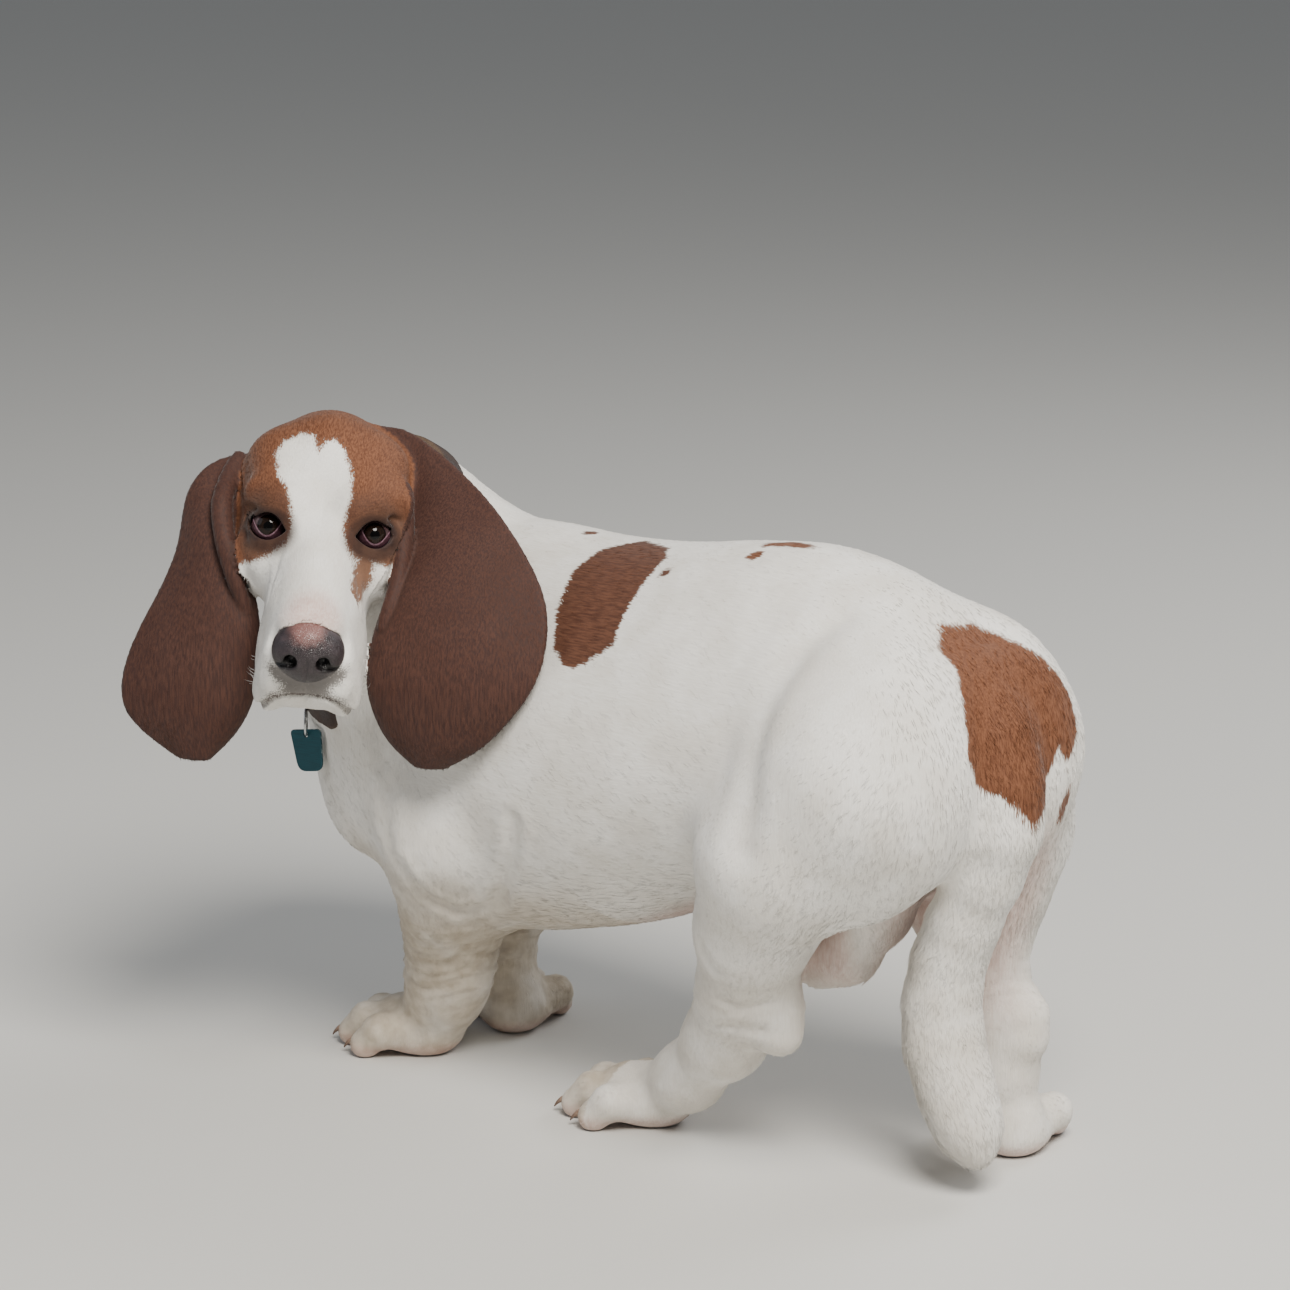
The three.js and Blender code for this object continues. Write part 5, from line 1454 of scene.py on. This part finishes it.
# Each claw's place, and its turn about X, Y and Z
toes = []
for leg in LEGS.values():
    for reach, across in TOES:
        at = paw_point(leg["paw"], PAW_LENGTH * (reach - 0.2) + TOE_R - 6, across * 1.05, 11)
        toes.append((at, (0, math.radians(10), math.radians(leg["paw"][2] + across * 0.25))))
toe_mesh = bpy.data.meshes.new("toes")
toe_mesh.from_pydata(placed([t[0] for t in toes]).tolist(), [], [])
turns = toe_mesh.attributes.new("toe_turn", "FLOAT_VECTOR", "POINT")
turns.data.foreach_set("vector", np.array([t[1] for t in toes], np.float32).ravel())
claw_base = new_object("claw_roots", toe_mesh)
maker = claw_base.modifiers.new("claws", "NODES")
maker.node_group = claws_tree(horn_finish())
maker[socket_id(maker.node_group, "Length")] = CLAW_LENGTH / 1000
maker[socket_id(maker.node_group, "Root radius")] = CLAW_R / 1000
claws = plain_copy(claw_base, "claws")
print("claws", len(claws.data.polygons))

# Collar: a strap round the neck that sinks into the fold over the left shoulder

throated = blend(16, near_head, neck)
lean = COLLAR_LEAN / np.linalg.norm(COLLAR_LEAN)


def strap_form(x, y, z):
    """A band on the neck and, farther back, on the body, with rounded edges."""
    whole = without_ears(x, y, z)
    outside = np.minimum(throated(x, y, z), whole + np.maximum(0, (x + 10) * 0.6)) - COLLAR_T
    along = (x - COLLAR_AT[0]) * lean[0] + (y - COLLAR_AT[1]) * lean[1] + (z - COLLAR_AT[2]) * lean[2]
    sides = np.abs(along) - (COLLAR_W / 2 - 0.5)
    shell = np.maximum(outside + 0.3, -(whole + 3.0))
    return -soft_min(-shell, -sides, 1.6)


points, tris = surface(strap_form, np.array([-150, -190, 180.0]), np.array([90, 70, 450.0]), 1.9)
points = settled(strap_form, points, 0.8, 0.3)
collar = new_object("collar_strap", mesh_from("collar_strap", points, tris))
across_strap = np.abs((points - COLLAR_AT) @ lean)
give(collar.data, "edge", smooth(COLLAR_W / 2 - 2.2, COLLAR_W / 2 - 0.6, across_strap))
collar.data.materials.append(strap_finish())

# Ring and tag, in a frame that faces the camera: sideways, up, and toward it

UP = np.array([0, 0, 1.0])
SIGHT = np.array([math.sqrt(0.5), -math.sqrt(0.5), 0])
SIDEWAYS = np.array([math.sqrt(0.5), math.sqrt(0.5), 0])


def joined_loops(count, loops):
    """Faces that join closed loops of points in turn, the last with the first."""
    i, j = (a.ravel() for a in np.meshgrid(np.arange(loops), np.arange(count), indexing="ij"))
    ahead, after = (i + 1) % loops * count, (j + 1) % count
    return np.stack([i * count + j, i * count + after, ahead + after, ahead + j], 1)


def ring_piece(name, centre, first, second, r, tube, around=72, across=14):
    """A wire bent into a ring, in the plane of two directions."""
    a = np.linspace(0, 2 * np.pi, around, endpoint=False)[:, None]
    b = np.linspace(0, 2 * np.pi, across, endpoint=False)[None, :]
    reach = r + tube * np.cos(b)
    p = (centre + (reach * np.cos(a))[..., None] * first + (reach * np.sin(a))[..., None] * second
         + (tube * np.sin(b) + 0 * a)[..., None] * np.cross(first, second))
    return mesh_from(name, p.reshape(-1, 3), joined_loops(across, around)[:, [0, 3, 2, 1]])


ring = new_object("split_ring", ring_piece("split_ring", HOLE_AT + UP * RING_R, SIGHT, UP, RING_R, RING_WIRE))
ring.data.materials.append(steel_finish())


def bend(start, knee, end, steps=7):
    """A rounded corner from start to end."""
    s = np.linspace(0, 1, steps)[:, None]
    start, knee, end = (np.array(v, float) for v in (start, knee, end))
    return start * (1 - s) ** 2 + 2 * knee * s * (1 - s) + end * s ** 2


def tag_piece():
    """A plate with rounded corners, narrower below, its rim chamfered and a hole near its top."""
    half, tall, thick, corner_r = 11.5, 27, 1.6, 3
    hole_r, over_hole, bevel, inset_by = 1.75, 3.4, 0.35, 0.45
    rim = np.vstack([bend((half - corner_r, 0), (half, 0), (half, -corner_r)),
                     bend((half * 0.86, -tall * 0.78), (half * 0.8, -tall), (half * 0.3, -tall)),
                     bend((-half * 0.3, -tall), (-half * 0.8, -tall), (-half * 0.86, -tall * 0.78)),
                     bend((-half, -corner_r), (-half, 0), (-half + corner_r, 0))]) + (0, over_hole)
    inward = np.array([0, over_hole - tall / 2]) - rim
    inset = rim + inset_by * inward / np.linalg.norm(inward, axis=1)[:, None]
    angles = np.arctan2(rim[:, 1] + 4.6, rim[:, 0])
    hole = hole_r * np.stack([np.cos(angles), np.sin(angles)], 1)
    # Loops of points from the hole over the back, the rim and the front, with the wear of each
    loops = [(hole, -thick / 2, 0.6), (inset, -thick / 2, 0.7), (rim, -thick / 2 + bevel, 1),
             (rim, thick / 2 - bevel, 1), (inset, thick / 2, 0.7), (hole, thick / 2, 0.6)]
    count = len(rim)
    flat = np.vstack([np.column_stack([loop, np.full(count, depth)]) for loop, depth, _ in loops])
    flat = flat @ (turned((0, -TAG_TURN, 0)) @ turned((0, 0, 8))).T
    world = HOLE_AT + flat[:, :1] * SIDEWAYS + flat[:, 1:2] * UP + flat[:, 2:] * SIGHT
    mesh = mesh_from("bare_tag", world, joined_loops(count, len(loops)), is_smooth=False)
    give(mesh, "edge", np.repeat([wear for _, _, wear in loops], count))
    return mesh


tag = new_object("bare_tag", tag_piece())
shape = bmesh.new()
shape.from_mesh(tag.data)
bmesh.ops.recalc_face_normals(shape, faces=shape.faces)
shape.to_mesh(tag.data)
shape.free()
tag.data.materials.append(tag_finish())

# What stands for what

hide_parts(*[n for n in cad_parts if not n.startswith(("eye", "claw")) and n not in (
    "nose", "collar", "tag", "tag_ring")])
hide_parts("eye_left")
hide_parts("eye_right")
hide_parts("nose")
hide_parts(*[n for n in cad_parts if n.startswith("claw")])
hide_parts("collar")
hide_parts("tag_ring")
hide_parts("tag")
coat_slots = [(thing, "ear_coat" if name == "coat_ears" else "coat") for name, thing in coats.items()]
for thing, slot in [(skin, "coat"), (nose, "nose_leather"), (claws, "claw"), (collar, "collar_strap"),
                    (ring, "ring_steel"), (tag, "tag_metal"), *[(eye, "eye") for eye in eyes], *coat_slots]:
    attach(thing, "root")

# Floor, lights and world

def floor_finish():
    """Pale matt studio floor."""
    material, tree, shader = finish_named("pale_studio_floor")
    feed(tree, shader, Base__Color=linear("#CFCECA"), Roughness=0.9)
    return material


FLOOR_HALF = 20           # m
FLOOR_Z = -0.0004         # m, just under the soles
floor_mesh = bpy.data.meshes.new("floor")
floor_mesh.from_pydata([(FLOOR_HALF * x_way, FLOOR_HALF * y_way, FLOOR_Z)
                        for x_way, y_way in ((-1, -1), (1, -1), (1, 1), (-1, 1))], [], [(0, 1, 2, 3)])
floor = new_object("floor", floor_mesh)
floor_mesh.materials.append(floor_finish())


def soft_light(name, place, size, power, tint="#FFFFFF"):
    """A round lamp of a size in m and a power in W, aimed at the body."""
    data = bpy.data.lights.new(name, "AREA")
    data.shape = "DISK"
    data.size = size
    data.energy = power
    data.color = linear(tint)[:3]
    lamp = new_object(name, data)
    aim = Vector((0, 0, 0.2)) - Vector(place)
    lamp.matrix_world = Matrix.Translation(place) @ aim.to_track_quat("-Z", "Y").to_matrix().to_4x4()


soft_light("key", (1.8, -1.0, 2.5), 1.4, 160, "#FFFAF2")
soft_light("fill", (-1.5, -1.7, 1.3), 1.6, 7, "#F1F5FF")
soft_light("rim", (0.3, 2.0, 1.8), 1.5, 26)
world = bpy.data.worlds.new("studio")
world.use_nodes = True
feed(world.node_tree, world.node_tree.nodes["Background"], Color=linear("#D5DAE0"), Strength=0.3)
bpy.context.scene.world = world
